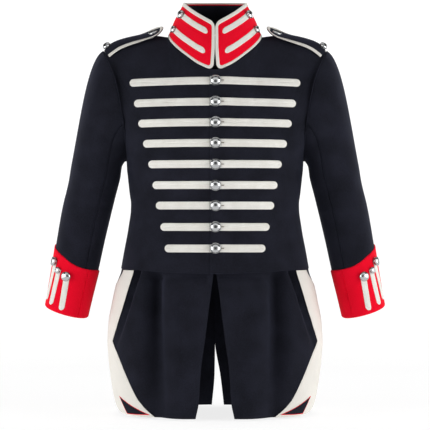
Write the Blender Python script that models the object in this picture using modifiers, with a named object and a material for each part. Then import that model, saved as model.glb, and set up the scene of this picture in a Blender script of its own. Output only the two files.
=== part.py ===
"""A wool military coatee: fitted body, stand collar, set-in sleeves, laced front and skirts.

Metres. Wearer's left is +X, the front faces -Y, up is +Z. The origin is the middle of the neck.
"""
import math

import bmesh
import bpy
import numpy as np
from mathutils import Matrix, Vector

CLOTH = 0.0020
TRIM = 0.0012
ON_CLOTH = 0.0013
OVERLAP_LIFT = 0.0030
OVERLAP_FLAT = 7.0
OVERLAP_FADE = 11.0
OVERLAP_EDGE = -4.7
UNDERLAP_EDGE = -5.2
SIDE_GAP = 0.05
CHEST_Z = -0.280
CHEST_V = 0.42
SQUARENESS = 2.3
BODY_HEM_Z = -0.485
BODY_HEM_DIP = 0.008
# Distance over which a slope is read, and how far it carries on above, as a share of the rise.
SLOPE_RUN = 0.004
CLIMB = 0.36
# Closer to this plane the walls are square to the shoulder and side seams.
SEAM_PLANE = 0.001

# Body sections from hem to chest.
BODY_RINGS = (
    ("z", "half_width", "front", "back"),
    (-0.5000, 0.2020, 0.1375, 0.1300),
    (-0.4850, 0.1992, 0.1355, 0.1275),
    (-0.4515, 0.1932, 0.1310, 0.1215),
    (-0.4010, 0.1838, 0.1245, 0.1130),
    (-0.3570, 0.1785, 0.1215, 0.1085),
    (-0.3255, 0.1815, 0.1250, 0.1110),
    (-0.2800, 0.1868, 0.1310, 0.1180),
)

# Seam of collar and body, by angle round the neck from the front.
NECK_HALF_WIDTH = 0.098
NECK_FRONT = 0.105
NECK_BACK = 0.080
NECK_RISE = (
    ("angle", "z"),
    (0.0, -0.0763),
    (4.0, -0.0762),
    (15.0, -0.0692),
    (39.0, -0.0427),
    (69.0, -0.0138),
    (90.0, 0.0000),
    (130.0, 0.0090),
    (172.0, 0.0120),
    (180.0, 0.0120),
)

# Shoulder seam from the neck to the sleeve.
SHOULDER_LINE = (
    ("x", "z"),
    (0.0980, 0.0000),
    (0.1370, 0.0040),
    (0.1700, -0.0010),
    (0.2040, -0.0100),
    (0.2250, -0.0210),
    (0.2335, -0.0270),
)

# Armhole from the underarm (-90) to the shoulder (90); depth is taken to front and back alike.
ARMHOLE = (
    ("angle", "x", "depth", "z"),
    (-90.0, 0.1880, 0.0000, -0.2625),
    (-75.0, 0.1855, 0.0320, -0.2500),
    (-60.0, 0.1845, 0.0550, -0.2270),
    (-35.0, 0.1870, 0.0740, -0.1930),
    (-10.0, 0.1930, 0.0800, -0.1580),
    (10.0, 0.1986, 0.0790, -0.1300),
    (40.0, 0.2090, 0.0690, -0.0860),
    (70.0, 0.2260, 0.0380, -0.0470),
    (90.0, 0.2335, 0.0000, -0.0270),
)

# Angles on the body where the neck ends and where the armhole starts, and how its surface arrives there:
# the direction, how far it reaches as a share of the height, and how straight it runs up from the chest.
NECK_AT = 28.0
NECK_SPREAD = 1.24
ARMHOLE_AT = 62.0
TOP_LEAN = (
    ("angle", "dx", "front_dy", "back_dy", "dz", "reach", "straight"),
    (0.0, 0.00, 0.20, -0.34, 0.96, 0.30, 0.0),
    (4.0, 0.00, 0.20, -0.34, 0.96, 0.30, 0.0),
    (14.0, 0.02, 0.39, -0.45, 0.92, 0.225, 0.0),
    (20.0, 0.08, 0.63, -0.65, 0.77, 0.225, 0.0),
    (24.0, 0.08, 0.85, -0.85, 0.50, 0.230, 0.0),
    (28.0, 0.02, 0.94, -0.94, 0.32, 0.275, 0.0),
    (34.0, 0.00, 0.97, -0.97, 0.23, 0.243, 0.0),
    (45.0, 0.02, 0.99, -0.99, 0.11, 0.205, 0.0),
    (62.0, 0.10, 1.00, -1.00, 0.05, 0.20, 0.1),
    (67.0, 0.40, 0.80, -0.80, 0.50, 0.26, 0.6),
    (73.0, 0.40, 0.30, -0.30, 0.85, 0.28, 1.0),
    (90.0, 0.00, 0.00, 0.00, 1.00, 0.30, 1.0),
)
# Angle round the section at which each of the body's lines starts at the chest.
CHEST_SPREAD = (
    ("angle", "start"),
    (0.0, 0.0),
    (28.0, 26.0),
    (62.0, 50.0),
    (76.0, 66.0),
    (90.0, 90.0),
)

# Sleeve sections from below the armhole to the wrist.
SLEEVE_TOP_Z = -0.300
SLEEVE_CAP_W = 0.60
SLEEVE_RINGS = (
    ("z", "middle", "half_width", "half_depth"),
    (-0.6000, 0.3168, 0.0451, 0.0520),
    (-0.5523, 0.3065, 0.0461, 0.0530),
    (-0.4893, 0.2932, 0.0484, 0.0560),
    (-0.4263, 0.2814, 0.0505, 0.0590),
    (-0.3507, 0.2657, 0.0530, 0.0640),
    (-0.3000, 0.2537, 0.0540, 0.0670),
)
SLEEVE_LEAVES = (
    ("angle", "dx", "depth", "dz", "reach"),
    (-90.0, 0.80, 0.00, -0.60, 0.014),
    (-50.0, 0.80, 0.15, -0.58, 0.024),
    (0.0, 0.80, 0.30, -0.52, 0.045),
    (45.0, 0.88, 0.30, -0.38, 0.050),
    (90.0, 0.92, 0.00, -0.39, 0.040),
)
SLEEVE_SEAM = 30.0
SLEEVE_SEAM_GAP = 0.12
SLEEVE_GAP = 0.0022
WRIST_Z = -0.5755
WRIST_TILT = 0.0125
WRIST_DROP = 0.0055
CUFF_LIFT = 0.0026
CUFF_LAP = 0.012
CUFF_TOP = (
    ("angle", "z"),
    (-90.0, -0.4893),
    (-50.0, -0.4880),
    (-16.0, -0.4826),
    (8.0, -0.4732),
    (36.0, -0.4578),
    (90.0, -0.4347),
)

# Collar's upper edge.
COLLAR_CLOTH = 0.0026
COLLAR_HALF_WIDTH = 0.0655
COLLAR_FRONT = 0.090
COLLAR_BACK = 0.062
COLLAR_FRONT_Z = 0.0185
COLLAR_SIDE_Z = 0.0690
COLLAR_BACK_Z = 0.0760
COLLAR_BULGE = 0.003
COLLAR_FOOT = 0.008
COLLAR_OPENING = 0.9
PIPING = 0.006
PIPING_TURN = 3.6
PIPING_FOOT = 0.014
PIPING_TOP = 0.998
PIPING_RISE = (0.25, 0.5, 0.75)

# Skirt sections from the waist seam to the hem.
SKIRT_RINGS = (
    ("z", "half_width", "front", "back"),
    (-0.7865, 0.2050, 0.1440, 0.1410),
    (-0.7665, 0.2095, 0.1450, 0.1420),
    (-0.7161, 0.2170, 0.1460, 0.1430),
    (-0.6657, 0.2225, 0.1460, 0.1430),
    (-0.6405, 0.2240, 0.1450, 0.1420),
    (-0.6027, 0.2222, 0.1430, 0.1390),
    (-0.5523, 0.2135, 0.1390, 0.1350),
    (-0.5145, 0.2050, 0.1350, 0.1310),
    (-0.4950, 0.1975, 0.1330, 0.1260),
    (-0.4760, 0.1935, 0.1300, 0.1215),
)
SKIRT_TOP_Z = -0.476
SKIRT_HEM_Z = -0.7865
SKIRT_SEAM = 93.0
HEM_RAISE = 0.021
HEM_RAISE_SPREAD = 17.0
HEM_RAISE_POWER = 7
FOLD_GROWTH = 1.3
FOLD_RADIUS = 0.17
SKIRT_SEAM_GAP = 0.05
SKIRT_BAND_Z = -0.7480
SKIRT_YOKE_Z = -0.4950
# Folds of each half, by angle from the front; the depth is at the hem.
SKIRT_FOLDS = (
    ("angle", "depth", "spread"),
    (25.0, 0.0050, 10.0),
    (45.0, -0.0085, 9.0),
    (128.0, -0.0060, 10.0),
    (148.0, 0.0060, 11.0),
    (166.0, -0.0040, 8.0),
)
FRONT_OPENING = (
    ("z", "angle"),
    (-0.7865, 15.2),
    (-0.7519, 12.6),
    (-0.6912, 11.2),
    (-0.6266, 8.0),
    (-0.5437, 4.1),
    (-0.4760, 0.4),
)
BACK_VENT = (
    ("z", "left", "right"),
    (-0.7865, 8.0, 2.8),
    (-0.7200, 4.6, 0.4),
    (-0.6525, 0.07, 0.07),
    (-0.4760, 0.07, 0.07),
)

# Front edge of the turned-back lining, by angle; the rear edge is its mirror about the skirt seam.
TURNBACK_LIFT = 0.0052
TURNBACK_POINT_Z = -0.6344
TURNBACK_TOP_Z = -0.4915
TURNBACK_HEM = 0.0005
TURNBACK_EDGE = (
    ("z", "angle"),
    (-0.7865, 46.5),
    (-0.7773, 49.8),
    (-0.7674, 52.6),
    (-0.7516, 56.2),
    (-0.7251, 60.1),
    (-0.6829, 65.9),
    (-0.6584, 69.5),
    (-0.6344, 74.5),
    (-0.6046, 70.7),
    (-0.5750, 68.3),
    (-0.5461, 66.6),
    (-0.5162, 65.1),
    (-0.4880, 64.5),
)

# Rows of lace on the front: height, how far each runs to each side, and how far its end droops.
LACE_HALF_WIDTH = 0.0079
LACE_START = 0.0095
LACE_CLEAR = 0.0030
LACE_ROWS = (
    ("z", "end", "droop"),
    (-0.0997, 0.1757, 0.0026),
    (-0.1434, 0.1660, 0.0018),
    (-0.1856, 0.1570, 0.0012),
    (-0.2276, 0.1470, 0.0006),
    (-0.2703, 0.1363, 0.0),
    (-0.3129, 0.1277, 0.0),
    (-0.3545, 0.1210, 0.0),
    (-0.3982, 0.1113, 0.0),
    (-0.4418, 0.1025, 0.0),
)

# Loops of tape with a button: collar by height share, cuff by angle and height.
TAPE_HALF_WIDTH = 0.0067
TAPE_END_ANGLES = (35, 65, 85)
BUTTON_INSET = 0.004
COLLAR_BUTTON_TURN = 1.0
CUFF_GIRTH = 0.053
COLLAR_GIRTH = 0.090
COLLAR_LOOPS = (
    ("share", "outer", "inner", "button"),
    (0.75, 60.0, 9.2, 0.0094),
    (0.325, 68.0, 11.5, 0.0080),
)
CUFF_LOOPS = (
    ("angle", "low_angle", "top", "low", "button"),
    (13.0, 9.5, -0.4968, -0.5710, 0.0102),
    (37.5, 43.0, -0.4848, -0.5603, 0.0070),
    (55.0, 68.0, -0.4668, -0.5505, 0.0096),
)

# Shoulder strap: its ends as angles on the body, its round end at the neck as a share of its length, and
# how it lies: flat on the shoulder at the sleeve, tilted to the front and lifted at the neck.
STRAP_FROM = 61.5
STRAP_TO = 30.6
STRAP_HALF_WIDTH = 0.025
STRAP_FORWARD = 0.0125
STRAP_ROUND = 0.21
STRAP_ROUND_END = 0.98
STRAP_SLOPE_RUN = 0.183
STRAP_LIFT = 0.0012
STRAP_RISE = 0.0125
STRAP_TIP_RISE = 0.020
STRAP_TILT = 27.0
STRAP_SETTLE = (0.1, 0.6)
STRAP_STEP = 0.01
STRAP_RIM_LIFT = 0.0008
STRAP_RIM_SIDE = 0.74
STRAP_RIM_END = 0.03
STRAP_BUTTON_SIDE = 0.1
STRAP_BUTTON_GAP = 0.0012

# Turned profiles, as shares of the radius: distance from the axis and height.
DOMED_BUTTON = ((0.0, 0.62), (0.45, 0.56), (0.80, 0.36), (1.0, 0.14), (0.94, 0.0), (0.0, 0.0))
BALL_BUTTON = ((0.0, 0.95), (0.50, 0.82), (0.92, 0.50), (1.0, 0.28), (0.80, 0.0), (0.0, 0.0))
FLAT_BUTTON = ((0.0, 0.34), (0.70, 0.30), (1.0, 0.16), (0.95, 0.0), (0.0, 0.0))
STRAP_BUTTONS = (("neck", 0.17, FLAT_BUTTON, 0.0106), ("sleeve", 0.955, BALL_BUTTON, 0.0088))
FRONT_BUTTON_RADIUS = 0.0113
FRONT_BUTTON_X = 0.001
FRONT_BUTTON_GAP = 0.0010
BUTTON_SIDES = 10
WELD = 0.00002
SHARP_ANGLE = 40.0

# First guess, step and rounds when a point of the front is looked up by x and z.
FIND_WIDTH = 0.20
FIND_HEIGHT = 0.46
FIND_STEP = 1e-4
FIND_ROUNDS = 14

# Colour, roughness and metal share of each material.
FINISHES = {
    "navy_wool": ((0.012, 0.014, 0.030), 0.90, 0.0),
    "red_wool": ((0.480, 0.020, 0.022), 0.88, 0.0),
    "white_wool": ((0.800, 0.780, 0.730), 0.88, 0.0),
    "white_lace": ((0.780, 0.760, 0.710), 0.80, 0.0),
    "silver_metal": ((0.780, 0.780, 0.770), 0.22, 1.0),
}


def column(table, name):
    place = table[0].index(name)
    return np.array([row[place] for row in table[1:]])


def smooth(at, xs, ys):
    """Read a curve through the points xs, ys, without overshoot."""
    order = np.argsort(xs)
    xs = xs[order]
    ys = ys[order]
    steps = np.diff(xs)
    rise = np.diff(ys) / steps
    both = rise[:-1] * rise[1:]
    total = rise[:-1] + rise[1:]
    slope = np.empty_like(ys)
    slope[0] = rise[0]
    slope[-1] = rise[-1]
    slope[1:-1] = np.where(both > 0, 2 * both / np.where(total == 0, 1, total), 0)
    at = np.clip(at, xs[0], xs[-1])
    i = np.clip(np.searchsorted(xs, at) - 1, 0, len(steps) - 1)
    s = (at - xs[i]) / steps[i]
    start = (1 + 2 * s) * (1 - s) ** 2 * ys[i] + s * (1 - s) ** 2 * steps[i] * slope[i]
    end = s * s * (3 - 2 * s) * ys[i + 1] + s * s * (s - 1) * steps[i] * slope[i + 1]
    return start + end


def read(table, key, name, at):
    return smooth(np.asarray(at, float), column(table, key), column(table, name))


def corners(table, key, name, at):
    """Read straight lines between the rows."""
    return np.interp(at, column(table, key), column(table, name))


def bezier(a, b, c, d, t):
    t = t[..., None]
    return (1 - t) ** 3 * a + 3 * (1 - t) ** 2 * t * b + 3 * (1 - t) * t * t * c + t ** 3 * d


def length(vectors):
    return np.linalg.norm(vectors, axis=-1)[..., None]


def turn_from_front(angle):
    """Degrees from the front middle, 0 to 180 on either side."""
    return np.degrees(np.arctan2(np.abs(np.sin(angle)), np.cos(angle)))


def oval(angle, half_width, front, back, power):
    """Rounded section: angle 0 is the front middle and 90 degrees the wearer's left."""
    s = np.sin(angle)
    c = np.cos(angle)
    depth = np.where(c > 0, front, back)
    r = ((np.abs(s) / half_width) ** power + (np.abs(c) / depth) ** power) ** (-1 / power)
    return r * s, -r * c


def ring(table, angle, z):
    sizes = [read(table, "z", name, z) for name in ("half_width", "front", "back")]
    x, y = oval(angle, *sizes, SQUARENESS)
    return np.stack((x, y, z), axis=-1)


def neck_seam(angle):
    x, y = oval(angle, NECK_HALF_WIDTH, NECK_FRONT, NECK_BACK, 2.0)
    return np.stack((x, y, read(NECK_RISE, "angle", "z", turn_from_front(angle))), axis=-1)


def armhole(height_angle, facing):
    x = read(ARMHOLE, "angle", "x", height_angle)
    y = facing * read(ARMHOLE, "angle", "depth", height_angle)
    return np.stack((x, y, read(ARMHOLE, "angle", "z", height_angle)), axis=-1)


def body_top(angle):
    """Upper edge of the body at an angle, and how the cloth arrives there, as a share of its height."""
    side = np.where(np.sin(angle) < 0, -1.0, 1.0)
    turn = turn_from_front(angle)
    front = turn <= 90
    off = np.where(front, turn, 180 - turn)
    opening = (90 - NECK_SPREAD * NECK_AT) / NECK_AT ** 3
    round_neck = np.minimum(NECK_SPREAD * off + opening * off ** 3, 90)
    neck = neck_seam(np.radians(np.where(front, round_neck, 180 - round_neck)))
    share = np.clip((off - NECK_AT) / (ARMHOLE_AT - NECK_AT), 0, 1)
    x = NECK_HALF_WIDTH + (SHOULDER_LINE[-1][0] - NECK_HALF_WIDTH) * share
    shoulder = np.stack((x, 0 * x, read(SHOULDER_LINE, "x", "z", x)), axis=-1)
    down = 180 * np.clip((off - ARMHOLE_AT) / (90 - ARMHOLE_AT), 0, 1)
    hole = armhole(90 - down, np.where(front, -1.0, 1.0))
    top = np.where((off < NECK_AT)[..., None], neck, np.where((off < ARMHOLE_AT)[..., None], shoulder, hole))
    dx = read(TOP_LEAN, "angle", "dx", off)
    dy = np.where(front, read(TOP_LEAN, "angle", "front_dy", off), read(TOP_LEAN, "angle", "back_dy", off))
    lean = np.stack((dx, dy, read(TOP_LEAN, "angle", "dz", off)), axis=-1)
    mirror = np.stack((side, np.ones_like(side), np.ones_like(side)), axis=-1)
    reach = read(TOP_LEAN, "angle", "reach", off)[..., None]
    straight = read(TOP_LEAN, "angle", "straight", off)[..., None]
    return top * mirror, lean / length(lean) * reach * mirror, straight


def chest_angle(angle):
    """Angle round the body's sections for one of its lines."""
    turn = turn_from_front(angle)
    near = read(CHEST_SPREAD, "angle", "start", np.where(turn <= 90, turn, 180 - turn))
    start = np.radians(np.where(turn <= 90, near, 180 - near))
    return np.where(np.sin(angle) < 0, -start, start)


def body(angle, v):
    """Outside of the body: v is 0 at the hem, CHEST_V at the chest and 1 at the upper edge."""
    around = chest_angle(angle)
    hem = BODY_HEM_Z - BODY_HEM_DIP * np.cos(around) ** 2
    low = ring(BODY_RINGS, around, hem + (CHEST_Z - hem) * np.minimum(v / CHEST_V, 1))
    chest = ring(BODY_RINGS, around, np.full_like(angle, CHEST_Z))
    below = ring(BODY_RINGS, around, np.full_like(angle, CHEST_Z - SLOPE_RUN))
    top, lean, straight = body_top(angle)
    rise = top - chest
    climb = (1 - straight) * (chest - below) / SLOPE_RUN * CLIMB * length(rise) + straight * rise / 3
    arrive = (1 - straight) * lean * length(rise) + straight * rise / 3
    t = np.clip((v - CHEST_V) / (1 - CHEST_V), 0, 1)
    high = bezier(chest, chest + climb, top - arrive, top, t)
    return np.where((v < CHEST_V)[..., None], low, high)


def normals(surface, u, v, step=1e-4):
    along = surface(u + step, v) - surface(u - step, v)
    up = surface(u, v + step) - surface(u, v - step)
    n = np.cross(along, up)
    return n / length(n)


def moved(surface, amount):
    """The surface with its points moved out by amount(u, v)."""
    return lambda u, v: surface(u, v) + normals(surface, u, v) * amount(u, v)[..., None]


def overlap(angle, v):
    share = np.clip((angle - math.radians(OVERLAP_FLAT)) / math.radians(OVERLAP_FADE), 0, 1)
    return OVERLAP_LIFT * (1 - share * share * (3 - 2 * share))


left_front = moved(body, overlap)


def sleeve_ring(angle, z):
    x = read(SLEEVE_RINGS, "z", "middle", z) + read(SLEEVE_RINGS, "z", "half_width", z) * np.sin(angle)
    y = -read(SLEEVE_RINGS, "z", "half_depth", z) * np.cos(angle)
    return np.stack((x, y, z), axis=-1)


def up_angle(angle):
    """Height on the sleeve as an angle: -90 at the underarm, 90 at the outside."""
    return np.degrees(np.arcsin(np.clip(np.sin(angle), -1, 1)))


def cuff_top(angle):
    return read(CUFF_TOP, "angle", "z", up_angle(angle))


def sleeve(angle, w):
    """Outside of the left sleeve: angle 0 is its front, 90 its outside; w is 1 at the armhole."""
    low_z = cuff_top(angle) - CUFF_LAP
    low = sleeve_ring(angle, low_z + (SLEEVE_TOP_Z - low_z) * np.clip(w / SLEEVE_CAP_W, 0, 1))
    top = sleeve_ring(angle, np.full_like(angle, SLEEVE_TOP_Z))
    below = sleeve_ring(angle, np.full_like(angle, SLEEVE_TOP_Z - SLOPE_RUN))
    facing = np.where(np.cos(angle) >= 0, -1.0, 1.0)
    up = up_angle(angle)
    dx = read(SLEEVE_LEAVES, "angle", "dx", up)
    dy = facing * read(SLEEVE_LEAVES, "angle", "depth", up)
    leave = np.stack((dx, dy, read(SLEEVE_LEAVES, "angle", "dz", up)), axis=-1)
    leave = leave / length(leave)
    hole = armhole(up, facing) + leave * SLEEVE_GAP
    climb = (top - below) / SLOPE_RUN * CLIMB * length(hole - top)
    reach = read(SLEEVE_LEAVES, "angle", "reach", up)[..., None]
    t = np.clip((w - SLEEVE_CAP_W) / (1 - SLEEVE_CAP_W), 0, 1)
    cap = bezier(top, top + climb, hole + leave * reach, hole, t)
    return np.where((w < SLEEVE_CAP_W)[..., None], low, cap)


def cuff(angle, w):
    wrist = WRIST_Z + WRIST_TILT * np.sin(angle) - WRIST_DROP * np.cos(angle)
    return sleeve_ring(angle, wrist + (cuff_top(angle) - wrist) * w)


def collar(angle, v):
    """Outside of the stand collar: v is 0 at the neck seam and 1 at the upper edge."""
    x, y = oval(angle, COLLAR_HALF_WIDTH, COLLAR_FRONT, COLLAR_BACK, 2.0)
    turn = np.radians(turn_from_front(angle))
    front_z = COLLAR_FRONT_Z + (COLLAR_SIDE_Z - COLLAR_FRONT_Z) * np.sin(turn)
    back_z = COLLAR_SIDE_Z - (COLLAR_BACK_Z - COLLAR_SIDE_Z) * np.cos(turn)
    top = np.stack((x, y, np.where(np.cos(angle) > 0, front_z, back_z)), axis=-1)
    base = neck_seam(angle)
    out = np.stack((np.sin(angle), -np.cos(angle), 0 * angle), axis=-1)
    bulge = COLLAR_BULGE * 4 * v * (1 - v)
    return base + (top - base) * (COLLAR_FOOT + (1 - COLLAR_FOOT) * v)[..., None] + out * bulge[..., None]


def skirt(angle, z):
    turn = turn_from_front(angle)
    drop = np.clip((SKIRT_TOP_Z - z) / (SKIRT_TOP_Z - SKIRT_HEM_Z), 0, 1)
    fold = 0 * turn
    for middle, depth, spread in SKIRT_FOLDS[1:]:
        fold = fold + depth * np.exp(-((turn - middle) / spread) ** 2)
    points = ring(SKIRT_RINGS, angle, z)
    points[..., :2] *= (1 + fold * drop ** FOLD_GROWTH / FOLD_RADIUS)[..., None]
    near_seam = np.exp(-((turn - SKIRT_SEAM) / HEM_RAISE_SPREAD) ** 2)
    points[..., 2] += HEM_RAISE * drop ** HEM_RAISE_POWER * near_seam
    return points


def strap_place(s, d):
    """Angle on the body and distance behind the shoulder seam: s is 0 at the neck, d -1 at the front edge."""
    near_neck = np.clip(1 - s / STRAP_ROUND, 0, STRAP_ROUND_END)
    across = d * STRAP_HALF_WIDTH * np.sqrt(1 - near_neck ** 2) - STRAP_FORWARD
    return STRAP_TO + (STRAP_FROM - STRAP_TO) * s, across


def strap_base(s, d):
    """Shoulder under the strap."""
    turn, across = strap_place(s, d)
    angle = np.radians(np.where(across <= 0, turn, 180 - turn))
    return body(angle, 1 - (1 - CHEST_V) * np.abs(across) / STRAP_SLOPE_RUN)


def strap_under(s, d):
    """Underside of the strap: on the shoulder at the sleeve, tilted and lifted towards the neck."""
    turn, across = strap_place(s, d)
    near = np.clip(1 - s, 0, 1)
    lift = STRAP_LIFT + STRAP_RISE * near ** 1.5 * ((1 - d) / 2) ** 2
    follow = strap_base(s, d) + normals(strap_base, s, d, STRAP_STEP) * lift[..., None]
    tilt = math.radians(STRAP_TILT)
    up = across * math.sin(tilt) + STRAP_LIFT + STRAP_TIP_RISE * near ** 6
    seam = body(np.radians(turn), np.ones_like(turn))
    flat = seam + np.stack((0 * up, across * math.cos(tilt), up), axis=-1)
    start, end = STRAP_SETTLE
    share = np.clip((s - start) / (end - start), 0, 1)
    return flat + (follow - flat) * (share * share * (3 - 2 * share))[..., None]


def find(x, z):
    """Angle and height share of the body's front at x and z."""
    angle = np.arcsin(np.clip(x / FIND_WIDTH, -0.95, 0.95))
    v = np.clip((z - BODY_HEM_Z) / FIND_HEIGHT, 0.02, 0.98)
    for _ in range(FIND_ROUNDS):
        p = body(angle, v)
        by_angle = (body(angle + FIND_STEP, v) - p) / FIND_STEP
        by_v = (body(angle, v + FIND_STEP) - p) / FIND_STEP
        ex = x - p[..., 0]
        ez = z - p[..., 2]
        det = by_angle[..., 0] * by_v[..., 2] - by_v[..., 0] * by_angle[..., 2]
        turn = (ex * by_v[..., 2] - by_v[..., 0] * ez) / det
        climb = (by_angle[..., 0] * ez - by_angle[..., 2] * ex) / det
        angle = angle + np.clip(turn, -0.2, 0.2)
        v = np.clip(v + np.clip(climb, -0.1, 0.1), 0.005, 0.995)
    return angle, v


def clear_scene():
    for obj in list(bpy.data.objects):
        bpy.data.objects.remove(obj, do_unlink=True)


def new_collection(name):
    collection = bpy.data.collections.new(name)
    bpy.context.scene.collection.children.link(collection)
    return collection


def material(name):
    found = bpy.data.materials.get(name)
    if found:
        return found
    colour, roughness, metal = FINISHES[name]
    made = bpy.data.materials.new(name)
    made.use_nodes = True
    shader = made.node_tree.nodes["Principled BSDF"]
    shader.inputs["Base Color"].default_value = (*colour, 1.0)
    shader.inputs["Roughness"].default_value = roughness
    shader.inputs["Metallic"].default_value = metal
    return made


def add_mesh(name, points, faces, finish, collection):
    mesh = bpy.data.meshes.new(name)
    mesh.from_pydata([tuple(p) for p in points], [], faces)
    bm = bmesh.new()
    bm.from_mesh(mesh)
    bmesh.ops.recalc_face_normals(bm, faces=bm.faces)
    bm.to_mesh(mesh)
    bm.free()
    mesh.shade_smooth()
    mesh.set_sharp_from_angle(angle=math.radians(SHARP_ANGLE))
    mesh.materials.append(material(finish))
    obj = bpy.data.objects.new(name, mesh)
    collection.objects.link(obj)
    return obj


def wall(name, outer, inner, finish, collection, closed=False):
    """Cloth between two grids of points, rows by columns; a closed one joins its last column to its first."""
    rows, cols = outer.shape[:2]
    points = np.concatenate((outer.reshape(-1, 3), inner.reshape(-1, 3)))

    def at(layer, row, col):
        return (layer * rows + row) * cols + col % cols

    faces = []
    for r in range(rows - 1):
        for c in range(cols if closed else cols - 1):
            faces.append((at(0, r, c), at(0, r, c + 1), at(0, r + 1, c + 1), at(0, r + 1, c)))
            faces.append((at(1, r, c), at(1, r + 1, c), at(1, r + 1, c + 1), at(1, r, c + 1)))
    bottom = [(0, c) for c in range(cols)]
    top = [(rows - 1, c) for c in range(cols - 1, -1, -1)]
    if closed:
        edges = [bottom, top]
    else:
        right = [(r, cols - 1) for r in range(1, rows - 1)]
        left = [(r, 0) for r in range(rows - 2, 0, -1)]
        edges = [bottom + right + top + left]
    for edge in edges:
        for (r0, c0), (r1, c1) in zip(edge, edge[1:] + edge[:1]):
            faces.append((at(0, r0, c0), at(1, r0, c0), at(1, r1, c1), at(0, r1, c1)))
    return add_mesh(name, points, faces, finish, collection)


def panel(name, surface, us, vs, finish, collection, lift=0.0, thick=CLOTH, mirror=False, closed=False):
    """Cloth of a given thickness on a surface, moved out from it by lift."""
    u, v = np.meshgrid(np.asarray(us, float), np.asarray(vs, float))
    points = surface(u, v)
    out = normals(surface, u, v)
    out[..., 1] = np.where(np.abs(points[..., 1]) < SEAM_PLANE, 0, out[..., 1])
    flip = np.array((-1.0 if mirror else 1.0, 1.0, 1.0))
    outer = (points + out * lift) * flip
    inner = (points + out * (lift - thick)) * flip
    return wall(name, outer, inner, finish, collection, closed)


def turned(name, profile, radius, place, out, finish, collection):
    """Button turned from a profile, standing at place with its axis along out."""
    mesh = bpy.data.meshes.new(name)
    points = [(r * radius, 0.0, h * radius) for r, h in profile]
    mesh.from_pydata(points, [(i, i + 1) for i in range(len(points) - 1)], [])
    mesh.materials.append(material(finish))
    obj = bpy.data.objects.new(name, mesh)
    collection.objects.link(obj)
    spin = obj.modifiers.new("turn", "SCREW")
    spin.steps = BUTTON_SIDES
    spin.render_steps = BUTTON_SIDES
    spin.use_merge_vertices = True
    spin.merge_threshold = WELD
    spin.use_smooth_shade = True
    rotation = Vector(out).to_track_quat("Z", "Y").to_matrix().to_4x4()
    obj.matrix_world = Matrix.Translation(Vector(place)) @ rotation
    return obj


def joined(obj, tool):
    """Sew the button on its tape: one solid."""
    tool.hide_render = True
    tool.display_type = "WIRE"
    union = obj.modifiers.new("sewn", "BOOLEAN")
    union.operation = "UNION"
    union.object = tool
    return obj


def spaced(*stops):
    """Values through the stops, each stop followed by its number of steps."""
    values = [stops[0]]
    for steps, end in zip(stops[1::2], stops[2::2]):
        values.extend(np.linspace(values[-1], end, steps + 1)[1:])
    return values


def tape_shape(start, end, half, steps):
    """Distances along a tape and its half width there, with a rounded far end."""
    ends = [end - half + half * math.sin(math.radians(a)) for a in TAPE_END_ANGLES]
    along = np.array(list(np.linspace(start, end - half, steps + 1)) + ends)
    past = np.clip(along - (end - half), 0, half)
    return along, np.sqrt(half ** 2 - past ** 2)


def make_bodies(parts):
    heights = spaced(0.0, 3, 0.268, 2, CHEST_V, 8, 0.9995)
    round_front = (1, 0.0, 2, 14.0, 4, NECK_AT, 4, ARMHOLE_AT, 9, 90 - SIDE_GAP)
    front_angles = np.radians(spaced(OVERLAP_EDGE, *round_front))
    under_angles = np.radians(spaced(UNDERLAP_EDGE, *round_front))
    panel("front_left", left_front, front_angles, heights, "navy_wool", parts)
    panel("front_right", body, under_angles, heights, "navy_wool", parts, mirror=True)
    half_back = spaced(90 + SIDE_GAP, 9, 180 - ARMHOLE_AT, 4, 180 - NECK_AT, 5, 180.0)
    back_angles = np.radians(half_back + [360 - a for a in half_back[-2::-1]])
    panel("back", body, back_angles, heights, "navy_wool", parts)


def make_sleeves(parts):
    seam = SLEEVE_SEAM
    gap = SLEEVE_SEAM_GAP
    top_angles = np.radians(spaced(-seam + gap, 2, 10.0, 8, 170.0, 2, 180 + seam - gap))
    under_angles = np.radians(spaced(180 + seam + gap, 6, 360 - seam - gap))
    heights = spaced(0.0, 5, SLEEVE_CAP_W, 7, 1.0)
    cuff_angles = np.radians(spaced(-seam, 2, 10.0, 8, 170.0, 2, 180 + seam, 6, 360 - seam))[:-1]
    for word, mirror in (("left", False), ("right", True)):
        panel(f"top_sleeve_{word}", sleeve, top_angles, heights, "navy_wool", parts, mirror=mirror)
        panel(f"under_sleeve_{word}", sleeve, under_angles, heights, "navy_wool", parts, mirror=mirror)
        panel(f"cuff_{word}", cuff, cuff_angles, spaced(0.0, 5, 1.0), "red_wool", parts,
              lift=CUFF_LIFT, mirror=mirror, closed=True)


def make_cuff_loops(parts, cutters):
    outside = moved(sleeve_ring, lambda angle, z: np.full_like(angle, CUFF_LIFT))
    for word, sign in (("left", 1.0), ("right", -1.0)):
        flip = np.array((sign, 1.0, 1.0))
        for number, (turn, low_turn, top, low, radius) in enumerate(CUFF_LOOPS[1:], 1):
            along, half = tape_shape(0.0, top - low, TAPE_HALF_WIDTH, 5)
            share, run = np.meshgrid(np.linspace(-1, 1, 2), along)
            wide = np.interp(run, along, half) * share
            angle = np.radians(turn + (low_turn - turn) * run / (top - low)) + wide / CUFF_GIRTH
            points = outside(angle, top - run)
            out = normals(outside, angle, top - run)
            name = f"cuff_loop_{word}_{number}"
            tape = wall(name, (points + out * (ON_CLOTH + TRIM)) * flip, (points + out * ON_CLOTH) * flip,
                        "white_lace", parts)
            spot = np.array([math.radians(turn)])
            height = np.array([top - BUTTON_INSET])
            axis = (normals(outside, spot, height) * flip)[0]
            place = (outside(spot, height) * flip)[0] + axis * (ON_CLOTH + TRIM * 0.5)
            button = turned(f"{name}_button", BALL_BUTTON, radius, place, axis, "silver_metal", cutters)
            joined(tape, button)


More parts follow.
